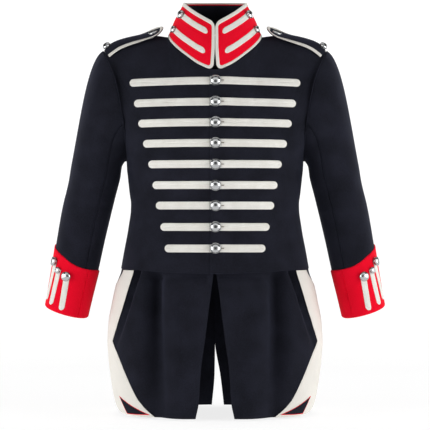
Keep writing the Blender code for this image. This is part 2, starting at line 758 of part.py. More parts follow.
def make_collar(parts, cutters):
    gap = COLLAR_OPENING
    angles = np.radians(spaced(gap, 8, 90.0, 6, 180.0, 6, 270.0, 8, 360.0 - gap))
    panel("collar", collar, angles, spaced(0.0, 4, 1.0), "red_wool", parts, thick=COLLAR_CLOTH)
    rise = list(PIPING_RISE)
    count = len(angles)
    edge_u = list(angles) + [angles[-1]] * len(rise) + list(angles[::-1]) + [angles[0]] * len(rise)
    edge_v = [PIPING_FOOT] * count + rise + [PIPING_TOP] * count + rise[::-1]
    u = np.array(edge_u)
    v = np.array(edge_v)
    height = length(collar(u, np.ones_like(u)) - collar(u, np.zeros_like(u)))[..., 0]
    inset_u = np.clip(u, math.radians(gap + PIPING_TURN), math.radians(360 - gap - PIPING_TURN))
    inset_v = np.clip(v, PIPING / height, 1 - PIPING / height)
    grid_u = np.stack((u, inset_u))
    grid_v = np.stack((v, inset_v))
    points = collar(grid_u, grid_v)
    out = normals(collar, grid_u, grid_v)
    wall("collar_piping", points + out * (ON_CLOTH + TRIM), points + out * ON_CLOTH, "white_wool", parts,
         closed=True)
    for word, sign in (("left", 1.0), ("right", -1.0)):
        flip = np.array((sign, 1.0, 1.0))
        for number, (share, outer, inner, radius) in enumerate(COLLAR_LOOPS[1:], 1):
            span = math.radians(outer - inner) * COLLAR_GIRTH
            along, half = tape_shape(0.0, span, TAPE_HALF_WIDTH, 6)
            across, run = np.meshgrid(np.linspace(-1, 1, 2), along)
            angle = math.radians(outer) - run / COLLAR_GIRTH
            tall = length(collar(angle, 0 * angle + 1) - collar(angle, 0 * angle))[..., 0]
            v = share + np.interp(run, along, half) * across / tall
            points = collar(angle, v)
            out = normals(collar, angle, v)
            name = f"collar_loop_{word}_{number}"
            tape = wall(name, (points + out * (ON_CLOTH + TRIM)) * flip, (points + out * ON_CLOTH) * flip,
                        "white_lace", parts)
            spot = np.array([math.radians(outer - COLLAR_BUTTON_TURN)])
            level = np.array([share])
            axis = (normals(collar, spot, level) * flip)[0]
            place = (collar(spot, level) * flip)[0] + axis * (ON_CLOTH + TRIM * 0.5)
            button = turned(f"{name}_button", BALL_BUTTON, radius, place, axis, "silver_metal", cutters)
            joined(tape, button)


def make_straps(parts):
    s = spaced(0.0, 1, 0.012, 1, 0.05, 1, 0.12, 1, STRAP_ROUND, 4, 1.0)
    d = [-1.0, -0.76, -0.72, -0.36, 0.0, 0.36, 0.72, 0.76, 1.0]
    across, along = np.meshgrid(d, s)
    points = strap_under(along, across)
    out = normals(strap_under, along, across, STRAP_STEP)
    rim = np.where((np.abs(across) > STRAP_RIM_SIDE) | (along < STRAP_RIM_END), STRAP_RIM_LIFT, 0.0)
    for word, sign in (("left", 1.0), ("right", -1.0)):
        flip = np.array((sign, 1.0, 1.0))
        outer = (points + out * (CLOTH + rim)[..., None]) * flip
        wall(f"shoulder_strap_{word}", outer, points * flip, "navy_wool", parts)
        for end, at, profile, radius in STRAP_BUTTONS:
            spot = np.array([at])
            middle = np.array([STRAP_BUTTON_SIDE])
            axis = (normals(strap_under, spot, middle, STRAP_STEP) * flip)[0]
            place = (strap_under(spot, middle) * flip)[0] + axis * (CLOTH + STRAP_BUTTON_GAP)
            turned(f"strap_button_{word}_{end}", profile, radius, place, axis, "silver_metal", parts)


def make_skirts(parts):
    heights = spaced(SKIRT_HEM_Z, 2, SKIRT_BAND_Z, 7, SKIRT_YOKE_Z, 1, SKIRT_TOP_Z)
    lining_hem = SKIRT_HEM_Z + TURNBACK_HEM
    lining_heights = spaced(lining_hem, 2, SKIRT_BAND_Z, 4, TURNBACK_POINT_Z, 6, TURNBACK_TOP_Z)
    lining_shares = spaced(0.0, 4, 0.24, 3, 0.76, 4, 1.0)
    for word, mirror in (("left", False), ("right", True)):
        def front(share, z):
            start = np.radians(read(FRONT_OPENING, "z", "angle", z))
            return skirt(start + (math.radians(SKIRT_SEAM - SKIRT_SEAM_GAP) - start) * share, z)

        def rear(share, z, vent=word):
            end = np.radians(180 - read(BACK_VENT, "z", vent, z))
            start = math.radians(SKIRT_SEAM + SKIRT_SEAM_GAP)
            return skirt(start + (end - start) * share, z)

        def lining(share, z):
            start = np.radians(corners(TURNBACK_EDGE, "z", "angle", z))
            return skirt(start + (2 * math.radians(SKIRT_SEAM) - 2 * start) * share, z)

        panel(f"front_skirt_{word}", front, spaced(0.0, 13, 1.0), heights, "navy_wool", parts, mirror=mirror)
        panel(f"back_skirt_{word}", rear, spaced(0.0, 13, 1.0), heights, "navy_wool", parts, mirror=mirror)
        panel(f"turnback_{word}", lining, lining_shares, lining_heights, "white_wool", parts,
              lift=TURNBACK_LIFT + CLOTH, mirror=mirror)


def make_front_trim(parts):
    sides = (("left", left_front, -LACE_START, 1.0), ("right", body, LACE_START + LACE_CLEAR, -1.0))
    for word, surface, start, sign in sides:
        flip = np.array((sign, 1.0, 1.0))
        for number, (z, end, droop) in enumerate(LACE_ROWS[1:], 1):
            along, half = tape_shape(start, end, LACE_HALF_WIDTH, 11)
            x, across = np.meshgrid(along, np.linspace(-1, 1, 2))
            angle, v = find(x, z - droop * (x / end) ** 2 + across * half)
            points = surface(angle, v)
            out = normals(surface, angle, v)
            wall(f"lace_{word}_{number}", (points + out * (ON_CLOTH + TRIM)) * flip,
                 (points + out * ON_CLOTH) * flip, "white_lace", parts)
    for number, (z, _, _) in enumerate(LACE_ROWS[1:], 1):
        spot, height = find(np.array([FRONT_BUTTON_X]), np.array([z]))
        axis = normals(left_front, spot, height)[0]
        place = left_front(spot, height)[0] + axis * (ON_CLOTH + TRIM + FRONT_BUTTON_GAP)
        name = f"front_button_{number}"
        turned(name, DOMED_BUTTON, FRONT_BUTTON_RADIUS, place, axis, "silver_metal", parts)


def main():
    clear_scene()
    parts = new_collection("coatee")
    cutters = new_collection("cutters")
    make_bodies(parts)
    make_sleeves(parts)
    make_cuff_loops(parts, cutters)
    make_collar(parts, cutters)
    make_straps(parts)
    make_skirts(parts)
    make_front_trim(parts)


main()
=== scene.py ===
import math

import bmesh
import bpy
import numpy as np
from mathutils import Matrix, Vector


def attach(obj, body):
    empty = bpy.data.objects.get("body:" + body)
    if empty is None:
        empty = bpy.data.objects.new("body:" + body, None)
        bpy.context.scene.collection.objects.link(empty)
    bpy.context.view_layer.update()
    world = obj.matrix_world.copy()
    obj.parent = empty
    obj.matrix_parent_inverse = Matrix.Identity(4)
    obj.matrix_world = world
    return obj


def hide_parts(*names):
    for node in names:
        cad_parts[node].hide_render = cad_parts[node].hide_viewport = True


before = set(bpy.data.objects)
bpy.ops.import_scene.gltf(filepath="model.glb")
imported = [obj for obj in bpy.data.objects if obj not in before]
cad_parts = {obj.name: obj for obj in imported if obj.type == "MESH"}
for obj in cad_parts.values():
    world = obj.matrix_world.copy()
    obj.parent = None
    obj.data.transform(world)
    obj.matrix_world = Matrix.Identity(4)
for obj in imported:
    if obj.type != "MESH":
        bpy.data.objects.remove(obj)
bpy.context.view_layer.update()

# Cloth and trim, in metres; the surfaces below are the ones that the solids follow.
clothThick = 0.0020
overlapLift = 0.0026
overlapFlat = 7.0
overlapFade = 11.0
chestZ = -0.280
chestV = 0.42
squareness = 2.3
bodyHemZ = -0.485
bodyHemDip = 0.008
slopeRun = 0.004  # a slope is read over this distance
climbShare = 0.36  # and carries on for this share of the rise
cornerSpread = 7.5  # degrees over which a seam's corner is rounded
cornerEdge = 0.12
seamPlane = 0.001  # this near to y 0, the cloth's edge is square to the shoulder and side seams

# Body sections from hem to chest.
bodyRings = (
    ("z", "halfWidth", "front", "back"),
    (-0.5000, 0.2020, 0.1375, 0.1300),
    (-0.4850, 0.1992, 0.1355, 0.1275),
    (-0.4515, 0.1932, 0.1310, 0.1215),
    (-0.4010, 0.1838, 0.1245, 0.1130),
    (-0.3570, 0.1785, 0.1215, 0.1085),
    (-0.3255, 0.1815, 0.1250, 0.1110),
    (-0.2800, 0.1868, 0.1310, 0.1180),
)

# Seam of collar and body, by angle round the neck from the front.
neckHalfWidth = 0.098
neckFront = 0.105
neckBack = 0.080
neckRise = (
    ("angle", "z"),
    (0.0, -0.0763),
    (4.0, -0.0762),
    (15.0, -0.0692),
    (39.0, -0.0427),
    (69.0, -0.0138),
    (90.0, 0.0000),
    (130.0, 0.0090),
    (172.0, 0.0120),
    (180.0, 0.0120),
)

# Shoulder seam from the neck to the sleeve.
shoulderLine = (
    ("x", "z"),
    (0.0980, 0.0000),
    (0.1370, 0.0040),
    (0.1700, -0.0010),
    (0.2040, -0.0100),
    (0.2250, -0.0210),
    (0.2335, -0.0270),
)

# Armhole from the underarm (-90) to the shoulder (90); depth is taken to front and back alike.
armholeLine = (
    ("angle", "x", "depth", "z"),
    (-90.0, 0.1880, 0.0000, -0.2625),
    (-75.0, 0.1855, 0.0320, -0.2500),
    (-60.0, 0.1845, 0.0550, -0.2270),
    (-35.0, 0.1870, 0.0740, -0.1930),
    (-10.0, 0.1930, 0.0800, -0.1580),
    (10.0, 0.1986, 0.0790, -0.1300),
    (40.0, 0.2090, 0.0690, -0.0860),
    (70.0, 0.2260, 0.0380, -0.0470),
    (90.0, 0.2335, 0.0000, -0.0270),
)

# Angles on the body where the neck ends and where the armhole starts, and how its surface arrives there:
# the direction, how far it reaches as a share of the height, and how straight it runs up from the chest.
neckAt = 28.0
neckSpread = 1.24
armholeAt = 62.0
topLean = (
    ("angle", "dx", "frontDy", "backDy", "dz", "reach", "straight"),
    (0.0, 0.00, 0.20, -0.34, 0.96, 0.30, 0.0),
    (4.0, 0.00, 0.20, -0.34, 0.96, 0.30, 0.0),
    (14.0, 0.02, 0.39, -0.45, 0.92, 0.225, 0.0),
    (20.0, 0.08, 0.63, -0.65, 0.77, 0.225, 0.0),
    (24.0, 0.08, 0.85, -0.85, 0.50, 0.230, 0.0),
    (28.0, 0.02, 0.94, -0.94, 0.32, 0.275, 0.0),
    (34.0, 0.00, 0.97, -0.97, 0.23, 0.243, 0.0),
    (45.0, 0.02, 0.99, -0.99, 0.11, 0.205, 0.0),
    (62.0, 0.10, 1.00, -1.00, 0.05, 0.20, 0.1),
    (67.0, 0.40, 0.80, -0.80, 0.50, 0.26, 0.6),
    (73.0, 0.40, 0.30, -0.30, 0.85, 0.28, 1.0),
    (90.0, 0.00, 0.00, 0.00, 1.00, 0.30, 1.0),
)
# Angle round the section at which each of the body's lines starts at the chest.
chestSpread = (
    ("angle", "start"),
    (0.0, 0.0),
    (28.0, 26.0),
    (62.0, 50.0),
    (76.0, 66.0),
    (90.0, 90.0),
)

# Sleeve sections from below the armhole to the wrist.
sleeveTopZ = -0.300
sleeveCapW = 0.60
sleeveRings = (
    ("z", "middle", "halfWidth", "halfDepth"),
    (-0.6000, 0.3168, 0.0451, 0.0520),
    (-0.5523, 0.3065, 0.0461, 0.0530),
    (-0.4893, 0.2932, 0.0484, 0.0560),
    (-0.4263, 0.2814, 0.0505, 0.0590),
    (-0.3507, 0.2657, 0.0530, 0.0640),
    (-0.3000, 0.2537, 0.0540, 0.0670),
)
sleeveLeaves = (
    ("angle", "dx", "depth", "dz", "reach"),
    (-90.0, 0.80, 0.00, -0.60, 0.014),
    (-50.0, 0.80, 0.15, -0.58, 0.024),
    (0.0, 0.80, 0.30, -0.52, 0.045),
    (45.0, 0.88, 0.30, -0.38, 0.050),
    (90.0, 0.92, 0.00, -0.39, 0.040),
)
sleeveSeam = 30.0
sleeveGap = 0.0003
wristZ = -0.5755
wristTilt = 0.0125
wristDrop = 0.0055
cuffLift = 0.0026
cuffLap = 0.012
cuffEdge = (
    ("angle", "z"),
    (-90.0, -0.4893),
    (-50.0, -0.4880),
    (-16.0, -0.4826),
    (8.0, -0.4732),
    (36.0, -0.4578),
    (90.0, -0.4347),
)

# Collar's upper edge.
collarHalfWidth = 0.0655
collarFront = 0.090
collarBack = 0.062
collarFrontZ = 0.0185
collarSideZ = 0.0690
collarBackZ = 0.0760
collarBulge = 0.003
collarOpening = 0.9
collarFoot = 0.008
piping = 0.006

# Skirt sections from the waist seam to the hem.
skirtRings = (
    ("z", "halfWidth", "front", "back"),
    (-0.7865, 0.2050, 0.1440, 0.1410),
    (-0.7665, 0.2095, 0.1450, 0.1420),
    (-0.7161, 0.2170, 0.1460, 0.1430),
    (-0.6657, 0.2225, 0.1460, 0.1430),
    (-0.6405, 0.2240, 0.1450, 0.1420),
    (-0.6027, 0.2222, 0.1430, 0.1390),
    (-0.5523, 0.2135, 0.1390, 0.1350),
    (-0.5145, 0.2050, 0.1350, 0.1310),
    (-0.4950, 0.1975, 0.1330, 0.1260),
    (-0.4760, 0.1935, 0.1300, 0.1215),
)
skirtTopZ = -0.476
skirtHemZ = -0.7865
skirtSeam = 93.0
skirtSeamGap = 0.03
hemRaise = 0.021
hemRaiseSpread = 17.0
hemRaisePower = 7
foldGrowth = 1.3
foldRadius = 0.17
# Folds of each half, by angle from the front; the depth is at the hem.
skirtFolds = (
    ("angle", "depth", "spread"),
    (25.0, 0.0050, 10.0),
    (45.0, -0.0085, 9.0),
    (128.0, -0.0060, 10.0),
    (148.0, 0.0060, 11.0),
    (166.0, -0.0040, 8.0),
)
frontOpening = (
    ("z", "angle"),
    (-0.7865, 15.2),
    (-0.7519, 12.6),
    (-0.6912, 11.2),
    (-0.6266, 8.0),
    (-0.5437, 4.1),
    (-0.4760, 0.4),
)
backVent = (
    ("z", "left", "right"),
    (-0.7865, 8.0, 2.8),
    (-0.7200, 4.6, 0.4),
    (-0.6525, 0.0, 0.0),
    (-0.6200, -0.6, 0.0),
    (-0.4760, -1.6, 0.0),
)

# Front edge of the turned-back lining, by angle; the rear edge is its mirror about the skirt seam,
# or liningRear where that is nearer.
turnbackLift = 0.0016
turnbackPointZ = -0.6344
turnbackEdge = (
    ("z", "angle"),
    (-0.7865, 46.5),
    (-0.7773, 49.8),
    (-0.7674, 52.6),
    (-0.7516, 56.2),
    (-0.7251, 60.1),
    (-0.6829, 65.9),
    (-0.6584, 69.5),
    (-0.6344, 74.5),
    (-0.6046, 70.7),
    (-0.5750, 68.3),
    (-0.5461, 66.6),
    (-0.5162, 65.1),
    (-0.4880, 64.5),
)

# Rows of lace on the front: height, how far each runs to each side, and how far its end droops.
laceHalfWidth = 0.0079
laceStart = 0.0104
laceClear = 0.0006  # the right lace starts this much farther from the middle
laceRows = (
    ("z", "end", "droop"),
    (-0.0997, 0.1757, 0.0026),
    (-0.1434, 0.1660, 0.0018),
    (-0.1856, 0.1570, 0.0012),
    (-0.2276, 0.1470, 0.0006),
    (-0.2703, 0.1363, 0.0),
    (-0.3129, 0.1277, 0.0),
    (-0.3545, 0.1210, 0.0),
    (-0.3982, 0.1113, 0.0),
    (-0.4418, 0.1025, 0.0),
)

# Loops of tape with a button: collar by height share, cuff by angle and height.
tapeHalfWidth = 0.0067
collarTapeStart = 0.002
cuffTapeStart = 0.003
buttonInset = 0.004
collarButtonInset = 0.0016
ballLift = 0.0010
cuffGirth = 0.053
collarGirth = 0.090
collarLoops = (
    ("share", "outer", "inner", "button"),
    (0.75, 60.0, 9.2, 0.0094),
    (0.325, 68.0, 11.5, 0.0080),
)
cuffLoops = (
    ("angle", "lowAngle", "top", "low", "button"),
    (13.0, 9.5, -0.4968, -0.5710, 0.0102),
    (37.5, 43.0, -0.4848, -0.5603, 0.0070),
    (55.0, 68.0, -0.4668, -0.5505, 0.0096),
)

# Shoulder strap: its ends as angles on the body, its round end as a share of its length, and how it lies.
strapFrom = 61.5
strapTo = 30.6
strapHalfWidth = 0.025
strapForward = 0.0125
strapRound = 0.21
strapRoundEnd = 0.98
strapSlopeRun = 0.183
strapSettle = (0.1, 0.6)
strapStep = 0.01
strapLift = 0.0012
strapRise = 0.0125
strapTipRise = 0.020
strapTilt = 27.0


def column(table, name):
    place = table[0].index(name)
    return np.array([row[place] for row in table[1:]])


def smooth(at, xs, ys):
    # Read a curve through the points xs, ys, without overshoot.
    order = np.argsort(xs)
    xs = xs[order]
    ys = ys[order]
    steps = np.diff(xs)
    rise = np.diff(ys) / steps
    both = rise[:-1] * rise[1:]
    total = rise[:-1] + rise[1:]
    slope = np.empty_like(ys)
    slope[0] = rise[0]
    slope[-1] = rise[-1]
    slope[1:-1] = np.where(both > 0, 2 * both / np.where(total == 0, 1, total), 0)
    at = np.clip(at, xs[0], xs[-1])
    i = np.clip(np.searchsorted(xs, at) - 1, 0, len(steps) - 1)
    s = (at - xs[i]) / steps[i]
    start = (1 + 2 * s) * (1 - s) ** 2 * ys[i] + s * (1 - s) ** 2 * steps[i] * slope[i]
    end = s * s * (3 - 2 * s) * ys[i + 1] + s * s * (s - 1) * steps[i] * slope[i + 1]
    return start + end


def read(table, key, name, at):
    return smooth(np.asarray(at, float), column(table, key), column(table, name))


def corners(table, key, name, at):
    # Read straight lines between the rows.
    return np.interp(at, column(table, key), column(table, name))


def bezier(a, b, c, d, t):
    t = t[..., None]
    return (1 - t) ** 3 * a + 3 * (1 - t) ** 2 * t * b + 3 * (1 - t) * t * t * c + t ** 3 * d


def length(vectors):
    return np.linalg.norm(vectors, axis=-1)[..., None]


def turnFromFront(angle):
    # Degrees from the front middle, 0 to 180 on either side.
    return np.degrees(np.arctan2(np.abs(np.sin(angle)), np.cos(angle)))


def oval(angle, halfWidth, front, back, power):
    # Rounded section: angle 0 is the front middle and 90 degrees the wearer's left.
    s = np.sin(angle)
    c = np.cos(angle)
    depth = np.where(c > 0, front, back)
    r = ((np.abs(s) / halfWidth) ** power + (np.abs(c) / depth) ** power) ** (-1 / power)
    return r * s, -r * c


def ring(table, angle, z):
    sizes = [read(table, "z", name, z) for name in ("halfWidth", "front", "back")]
    x, y = oval(angle, *sizes, squareness)
    return np.stack((x, y, z), axis=-1)


def neckSeam(angle):
    x, y = oval(angle, neckHalfWidth, neckFront, neckBack, 2.0)
    return np.stack((x, y, read(neckRise, "angle", "z", turnFromFront(angle))), axis=-1)


def armhole(heightAngle, facing):
    x = read(armholeLine, "angle", "x", heightAngle)
    y = facing * read(armholeLine, "angle", "depth", heightAngle)
    return np.stack((x, y, read(armholeLine, "angle", "z", heightAngle)), axis=-1)


def bodyTop(angle):
    # Upper edge of the body at an angle, and how the cloth arrives there, as a share of its height.
    side = np.where(np.sin(angle) < 0, -1.0, 1.0)
    turn = turnFromFront(angle)
    front = turn <= 90
    off = np.where(front, turn, 180 - turn)
    opening = (90 - neckSpread * neckAt) / neckAt ** 3
    roundNeck = np.minimum(neckSpread * off + opening * off ** 3, 90)
    neck = neckSeam(np.radians(np.where(front, roundNeck, 180 - roundNeck)))
    share = np.clip((off - neckAt) / (armholeAt - neckAt), 0, 1)
    x = neckHalfWidth + (shoulderLine[-1][0] - neckHalfWidth) * share
    shoulder = np.stack((x, 0 * x, read(shoulderLine, "x", "z", x)), axis=-1)
    down = 180 * np.clip((off - armholeAt) / (90 - armholeAt), 0, 1)
    hole = armhole(90 - down, np.where(front, -1.0, 1.0))
    top = np.where((off < neckAt)[..., None], neck, np.where((off < armholeAt)[..., None], shoulder, hole))
    dx = read(topLean, "angle", "dx", off)
    dy = np.where(front, read(topLean, "angle", "frontDy", off), read(topLean, "angle", "backDy", off))
    lean = np.stack((dx, dy, read(topLean, "angle", "dz", off)), axis=-1)
    mirror = np.stack((side, np.ones_like(side), np.ones_like(side)), axis=-1)
    reach = read(topLean, "angle", "reach", off)[..., None]
    straight = read(topLean, "angle", "straight", off)[..., None]
    return top * mirror, lean / length(lean) * reach * mirror, straight


def chestAngle(angle):
    # Angle round the body's sections for one of its lines.
    turn = turnFromFront(angle)
    near = read(chestSpread, "angle", "start", np.where(turn <= 90, turn, 180 - turn))
    start = np.radians(np.where(turn <= 90, near, 180 - near))
    return np.where(np.sin(angle) < 0, -start, start)


def body(angle, v):
    # Outside of the body: v is 0 at the hem, chestV at the chest and 1 at the upper edge.
    around = chestAngle(angle)
    hem = bodyHemZ - bodyHemDip * np.cos(around) ** 2
    low = ring(bodyRings, around, hem + (chestZ - hem) * np.minimum(v / chestV, 1))
    chest = ring(bodyRings, around, np.full_like(angle, chestZ))
    below = ring(bodyRings, around, np.full_like(angle, chestZ - slopeRun))
    top, lean, straight = bodyTop(angle)
    rise = top - chest
    climb = (1 - straight) * (chest - below) / slopeRun * climbShare * length(rise) + straight * rise / 3
    arrive = (1 - straight) * lean * length(rise) + straight * rise / 3
    t = np.clip((v - chestV) / (1 - chestV), 0, 1)
    high = bezier(chest, chest + climb, top - arrive, top, t)
    return np.where((v < chestV)[..., None], low, high)


def normals(surface, u, v, step=1e-4):
    along = surface(u + step, v) - surface(u - step, v)
    up = surface(u, v + step) - surface(u, v - step)
    n = np.cross(along, up)
    return n / length(n)


def moved(surface, amount):
    # The surface with its points moved out by amount(u, v).
    return lambda u, v: surface(u, v) + normals(surface, u, v) * amount(u, v)[..., None]


def overlap(angle, v):
    share = np.clip((angle - math.radians(overlapFlat)) / math.radians(overlapFade), 0, 1)
    return overlapLift * (1 - share * share * (3 - 2 * share))


def softBody(angle, v):
    # The body with the corners of its seams rounded off across the cloth, all but at its upper edge.
    spread = math.radians(cornerSpread) * np.clip((1 - v) / cornerEdge, 0, 1)
    return sum(weight * body(angle + shift * spread, v)
               for shift, weight in ((-1.0, 0.1), (-0.5, 0.2), (0.0, 0.4), (0.5, 0.2), (1.0, 0.1)))


leftFront = moved(softBody, overlap)


def sleeveRing(angle, z):
    x = read(sleeveRings, "z", "middle", z) + read(sleeveRings, "z", "halfWidth", z) * np.sin(angle)
    y = -read(sleeveRings, "z", "halfDepth", z) * np.cos(angle)
    return np.stack((x, y, z), axis=-1)


def upAngle(angle):
    # Height on the sleeve as an angle: -90 at the underarm, 90 at the outside.
    return np.degrees(np.arcsin(np.clip(np.sin(angle), -1, 1)))


def cuffTop(angle):
    return read(cuffEdge, "angle", "z", upAngle(angle))


def sleeve(angle, w):
    # Outside of the left sleeve: angle 0 is its front, 90 its outside; w is 0 in the cuff, 1 at the armhole.
    lowZ = cuffTop(angle) - cuffLap
    low = sleeveRing(angle, lowZ + (sleeveTopZ - lowZ) * np.clip(w / sleeveCapW, 0, 1))
    top = sleeveRing(angle, np.full_like(angle, sleeveTopZ))
    below = sleeveRing(angle, np.full_like(angle, sleeveTopZ - slopeRun))
    facing = np.where(np.cos(angle) >= 0, -1.0, 1.0)
    up = upAngle(angle)
    dx = read(sleeveLeaves, "angle", "dx", up)
    dy = facing * read(sleeveLeaves, "angle", "depth", up)
    leave = np.stack((dx, dy, read(sleeveLeaves, "angle", "dz", up)), axis=-1)
    leave = leave / length(leave)
    hole = armhole(up, facing) + leave * sleeveGap
    climb = (top - below) / slopeRun * climbShare * length(hole - top)
    reach = read(sleeveLeaves, "angle", "reach", up)[..., None]
    t = np.clip((w - sleeveCapW) / (1 - sleeveCapW), 0, 1)
    cap = bezier(top, top + climb, hole + leave * reach, hole, t)
    return np.where((w < sleeveCapW)[..., None], low, cap)


def cuff(angle, w):
    wrist = wristZ + wristTilt * np.sin(angle) - wristDrop * np.cos(angle)
    return sleeveRing(angle, wrist + (cuffTop(angle) - wrist) * w)


def collar(angle, v):
    # Outside of the stand collar: v is 0 at the neck seam and 1 at the upper edge.
    x, y = oval(angle, collarHalfWidth, collarFront, collarBack, 2.0)
    turn = np.radians(turnFromFront(angle))
    frontZ = collarFrontZ + (collarSideZ - collarFrontZ) * np.sin(turn)
    backZ = collarSideZ - (collarBackZ - collarSideZ) * np.cos(turn)
    top = np.stack((x, y, np.where(np.cos(angle) > 0, frontZ, backZ)), axis=-1)
    base = neckSeam(angle)
    out = np.stack((np.sin(angle), -np.cos(angle), 0 * angle), axis=-1)
    bulge = collarBulge * 4 * v * (1 - v)
    return base + (top - base) * (collarFoot + (1 - collarFoot) * v)[..., None] + out * bulge[..., None]


def skirt(angle, z):
    turn = turnFromFront(angle)
    drop = np.clip((skirtTopZ - z) / (skirtTopZ - skirtHemZ), 0, 1)
    fold = 0 * turn
    for middle, depth, spread in skirtFolds[1:]:
        fold = fold + depth * np.exp(-((turn - middle) / spread) ** 2)
    points = ring(skirtRings, angle, z)
    points[..., :2] *= (1 + fold * drop ** foldGrowth / foldRadius)[..., None]
    nearSeam = np.exp(-((turn - skirtSeam) / hemRaiseSpread) ** 2)
    points[..., 2] += hemRaise * drop ** hemRaisePower * nearSeam
    return points


def strapPlace(s, d):
    # Angle of the strap on the shoulder and distance across it: s is 0 at the neck, d -1 at the front edge.
    nearNeck = np.clip(1 - s / strapRound, 0, strapRoundEnd)
    across = d * strapHalfWidth * np.sqrt(1 - nearNeck ** 2) - strapForward
    return strapTo + (strapFrom - strapTo) * s, across


def strapBase(s, d):
    turn, across = strapPlace(s, d)
    angle = np.radians(np.where(across <= 0, turn, 180 - turn))
    return body(angle, 1 - (1 - chestV) * np.abs(across) / strapSlopeRun)


def strapUnder(s, d):
    # Underside of the strap: on the shoulder at the sleeve; flat, tilted and curled up at the neck.
    turn, across = strapPlace(s, d)
    near = np.clip(1 - s, 0, 1)
    lift = strapLift + strapRise * near ** 1.5 * ((1 - d) / 2) ** 2
    follow = strapBase(s, d) + normals(strapBase, s, d, strapStep) * lift[..., None]
    tilt = math.radians(strapTilt)
    up = across * math.sin(tilt) + strapLift + strapTipRise * near ** 6
    ridge = body(np.radians(turn), np.ones_like(turn))
    flat = ridge + np.stack((0 * up, across * math.cos(tilt), up), axis=-1)
    start, end = strapSettle
    share = np.clip((s - start) / (end - start), 0, 1)
    return flat + (follow - flat) * (share * share * (3 - 2 * share))[..., None]


search = {"halfWidth": 0.20, "low": -0.49, "height": 0.46, "step": 1e-4, "rounds": 9}


def find(x, z):
    # Angle and height share of the body's front at x and z, nearer in each round.
    angle = np.arcsin(np.clip(x / search["halfWidth"], -0.95, 0.95))
    v = np.clip((z - search["low"]) / search["height"], 0.02, 0.98)
    step = search["step"]
    for _ in range(search["rounds"]):
        p = softBody(angle, v)
        byAngle = (softBody(angle + step, v) - p) / step
        byV = (softBody(angle, v + step) - p) / step
        ex = x - p[..., 0]
        ez = z - p[..., 2]
        det = byAngle[..., 0] * byV[..., 2] - byV[..., 0] * byAngle[..., 2]
        turn = (ex * byV[..., 2] - byV[..., 0] * ez) / det
        climb = (byAngle[..., 0] * ez - byAngle[..., 2] * ex) / det
        angle = angle + np.clip(turn, -0.2, 0.2)
        v = np.clip(v + np.clip(climb, -0.1, 0.1), 0.005, 0.995)
    return angle, v


# Materials

def linear(code):
    # sRGB hex to scene-linear colour.
    values = [int(code[i:i + 2], 16) / 255 for i in (1, 3, 5)]
    return tuple(c / 12.92 if c <= 0.04045 else ((c + 0.055) / 1.055) ** 2.4 for c in values) + (1.0,)


def addNode(tree, kind, settings, links=None):
    node = tree.nodes.new(kind)
    for name, value in settings.items():
        if isinstance(name, int) or name in node.inputs:
            node.inputs[name].default_value = value
        else:
            setattr(node, name, value)
    for name, source in (links or {}).items():
        tree.links.new(source, node.inputs[name])
    return node


def newTree(name):
    made = bpy.data.materials.new(name)
    made.use_nodes = True
    made.node_tree.nodes.clear()
    return made, made.node_tree


def milledWool(name, dark, light, sheen, tint, napSize, cloudSize, bump):
    # Felted wool: two shades mottled by the nap, slow clouds of wear, and a soft glow where it turns away.
    made, tree = newTree(name)
    place = addNode(tree, "ShaderNodeTexCoord", {}).outputs["Object"]
    nap = addNode(tree, "ShaderNodeTexNoise", {"Scale": 1 / napSize, "Detail": 3.0, "Roughness": 0.65},
                  {"Vector": place})
    cloud = addNode(tree, "ShaderNodeTexNoise", {"Scale": 1 / cloudSize, "Detail": 2.0}, {"Vector": place})
    both = addNode(tree, "ShaderNodeMix", {"data_type": "FLOAT", 0: 0.35},
                   {2: nap.outputs["Fac"], 3: cloud.outputs["Fac"]})
    spread = addNode(tree, "ShaderNodeMapRange", {"From Min": 0.36, "From Max": 0.64},
                     {"Value": both.outputs[0]})
    shade = addNode(tree, "ShaderNodeMix", {"data_type": "RGBA", 6: linear(dark), 7: linear(light)},
                    {0: spread.outputs["Result"]})
    raised = addNode(tree, "ShaderNodeBump", {"Strength": 0.5, "Distance": bump},
                     {"Height": nap.outputs["Fac"]})
    cloth = addNode(tree, "ShaderNodeBsdfPrincipled",
                    {"Roughness": 0.9, "Specular IOR Level": 0.08, "Sheen Weight": sheen,
                     "Sheen Roughness": 0.42, "Sheen Tint": linear(tint)},
                    {"Base Color": shade.outputs[2], "Normal": raised.outputs["Normal"]})
    addNode(tree, "ShaderNodeOutputMaterial", {}, {"Surface": cloth.outputs["BSDF"]})
    return made


def polishedSilver(name, colour, wear):
    # Plated metal: bright and sharp, with faint handling marks that break the reflections.
    made, tree = newTree(name)
    place = addNode(tree, "ShaderNodeTexCoord", {}).outputs["Object"]
    marks = addNode(tree, "ShaderNodeTexNoise", {"Scale": 1 / wear, "Detail": 2.0}, {"Vector": place})
    rough = addNode(tree, "ShaderNodeMapRange", {"To Min": 0.16, "To Max": 0.28},
                    {"Value": marks.outputs["Fac"]})
    metal = addNode(tree, "ShaderNodeBsdfPrincipled", {"Base Color": linear(colour), "Metallic": 1.0},
                    {"Roughness": rough.outputs["Result"]})
    addNode(tree, "ShaderNodeOutputMaterial", {}, {"Surface": metal.outputs["BSDF"]})
    return made


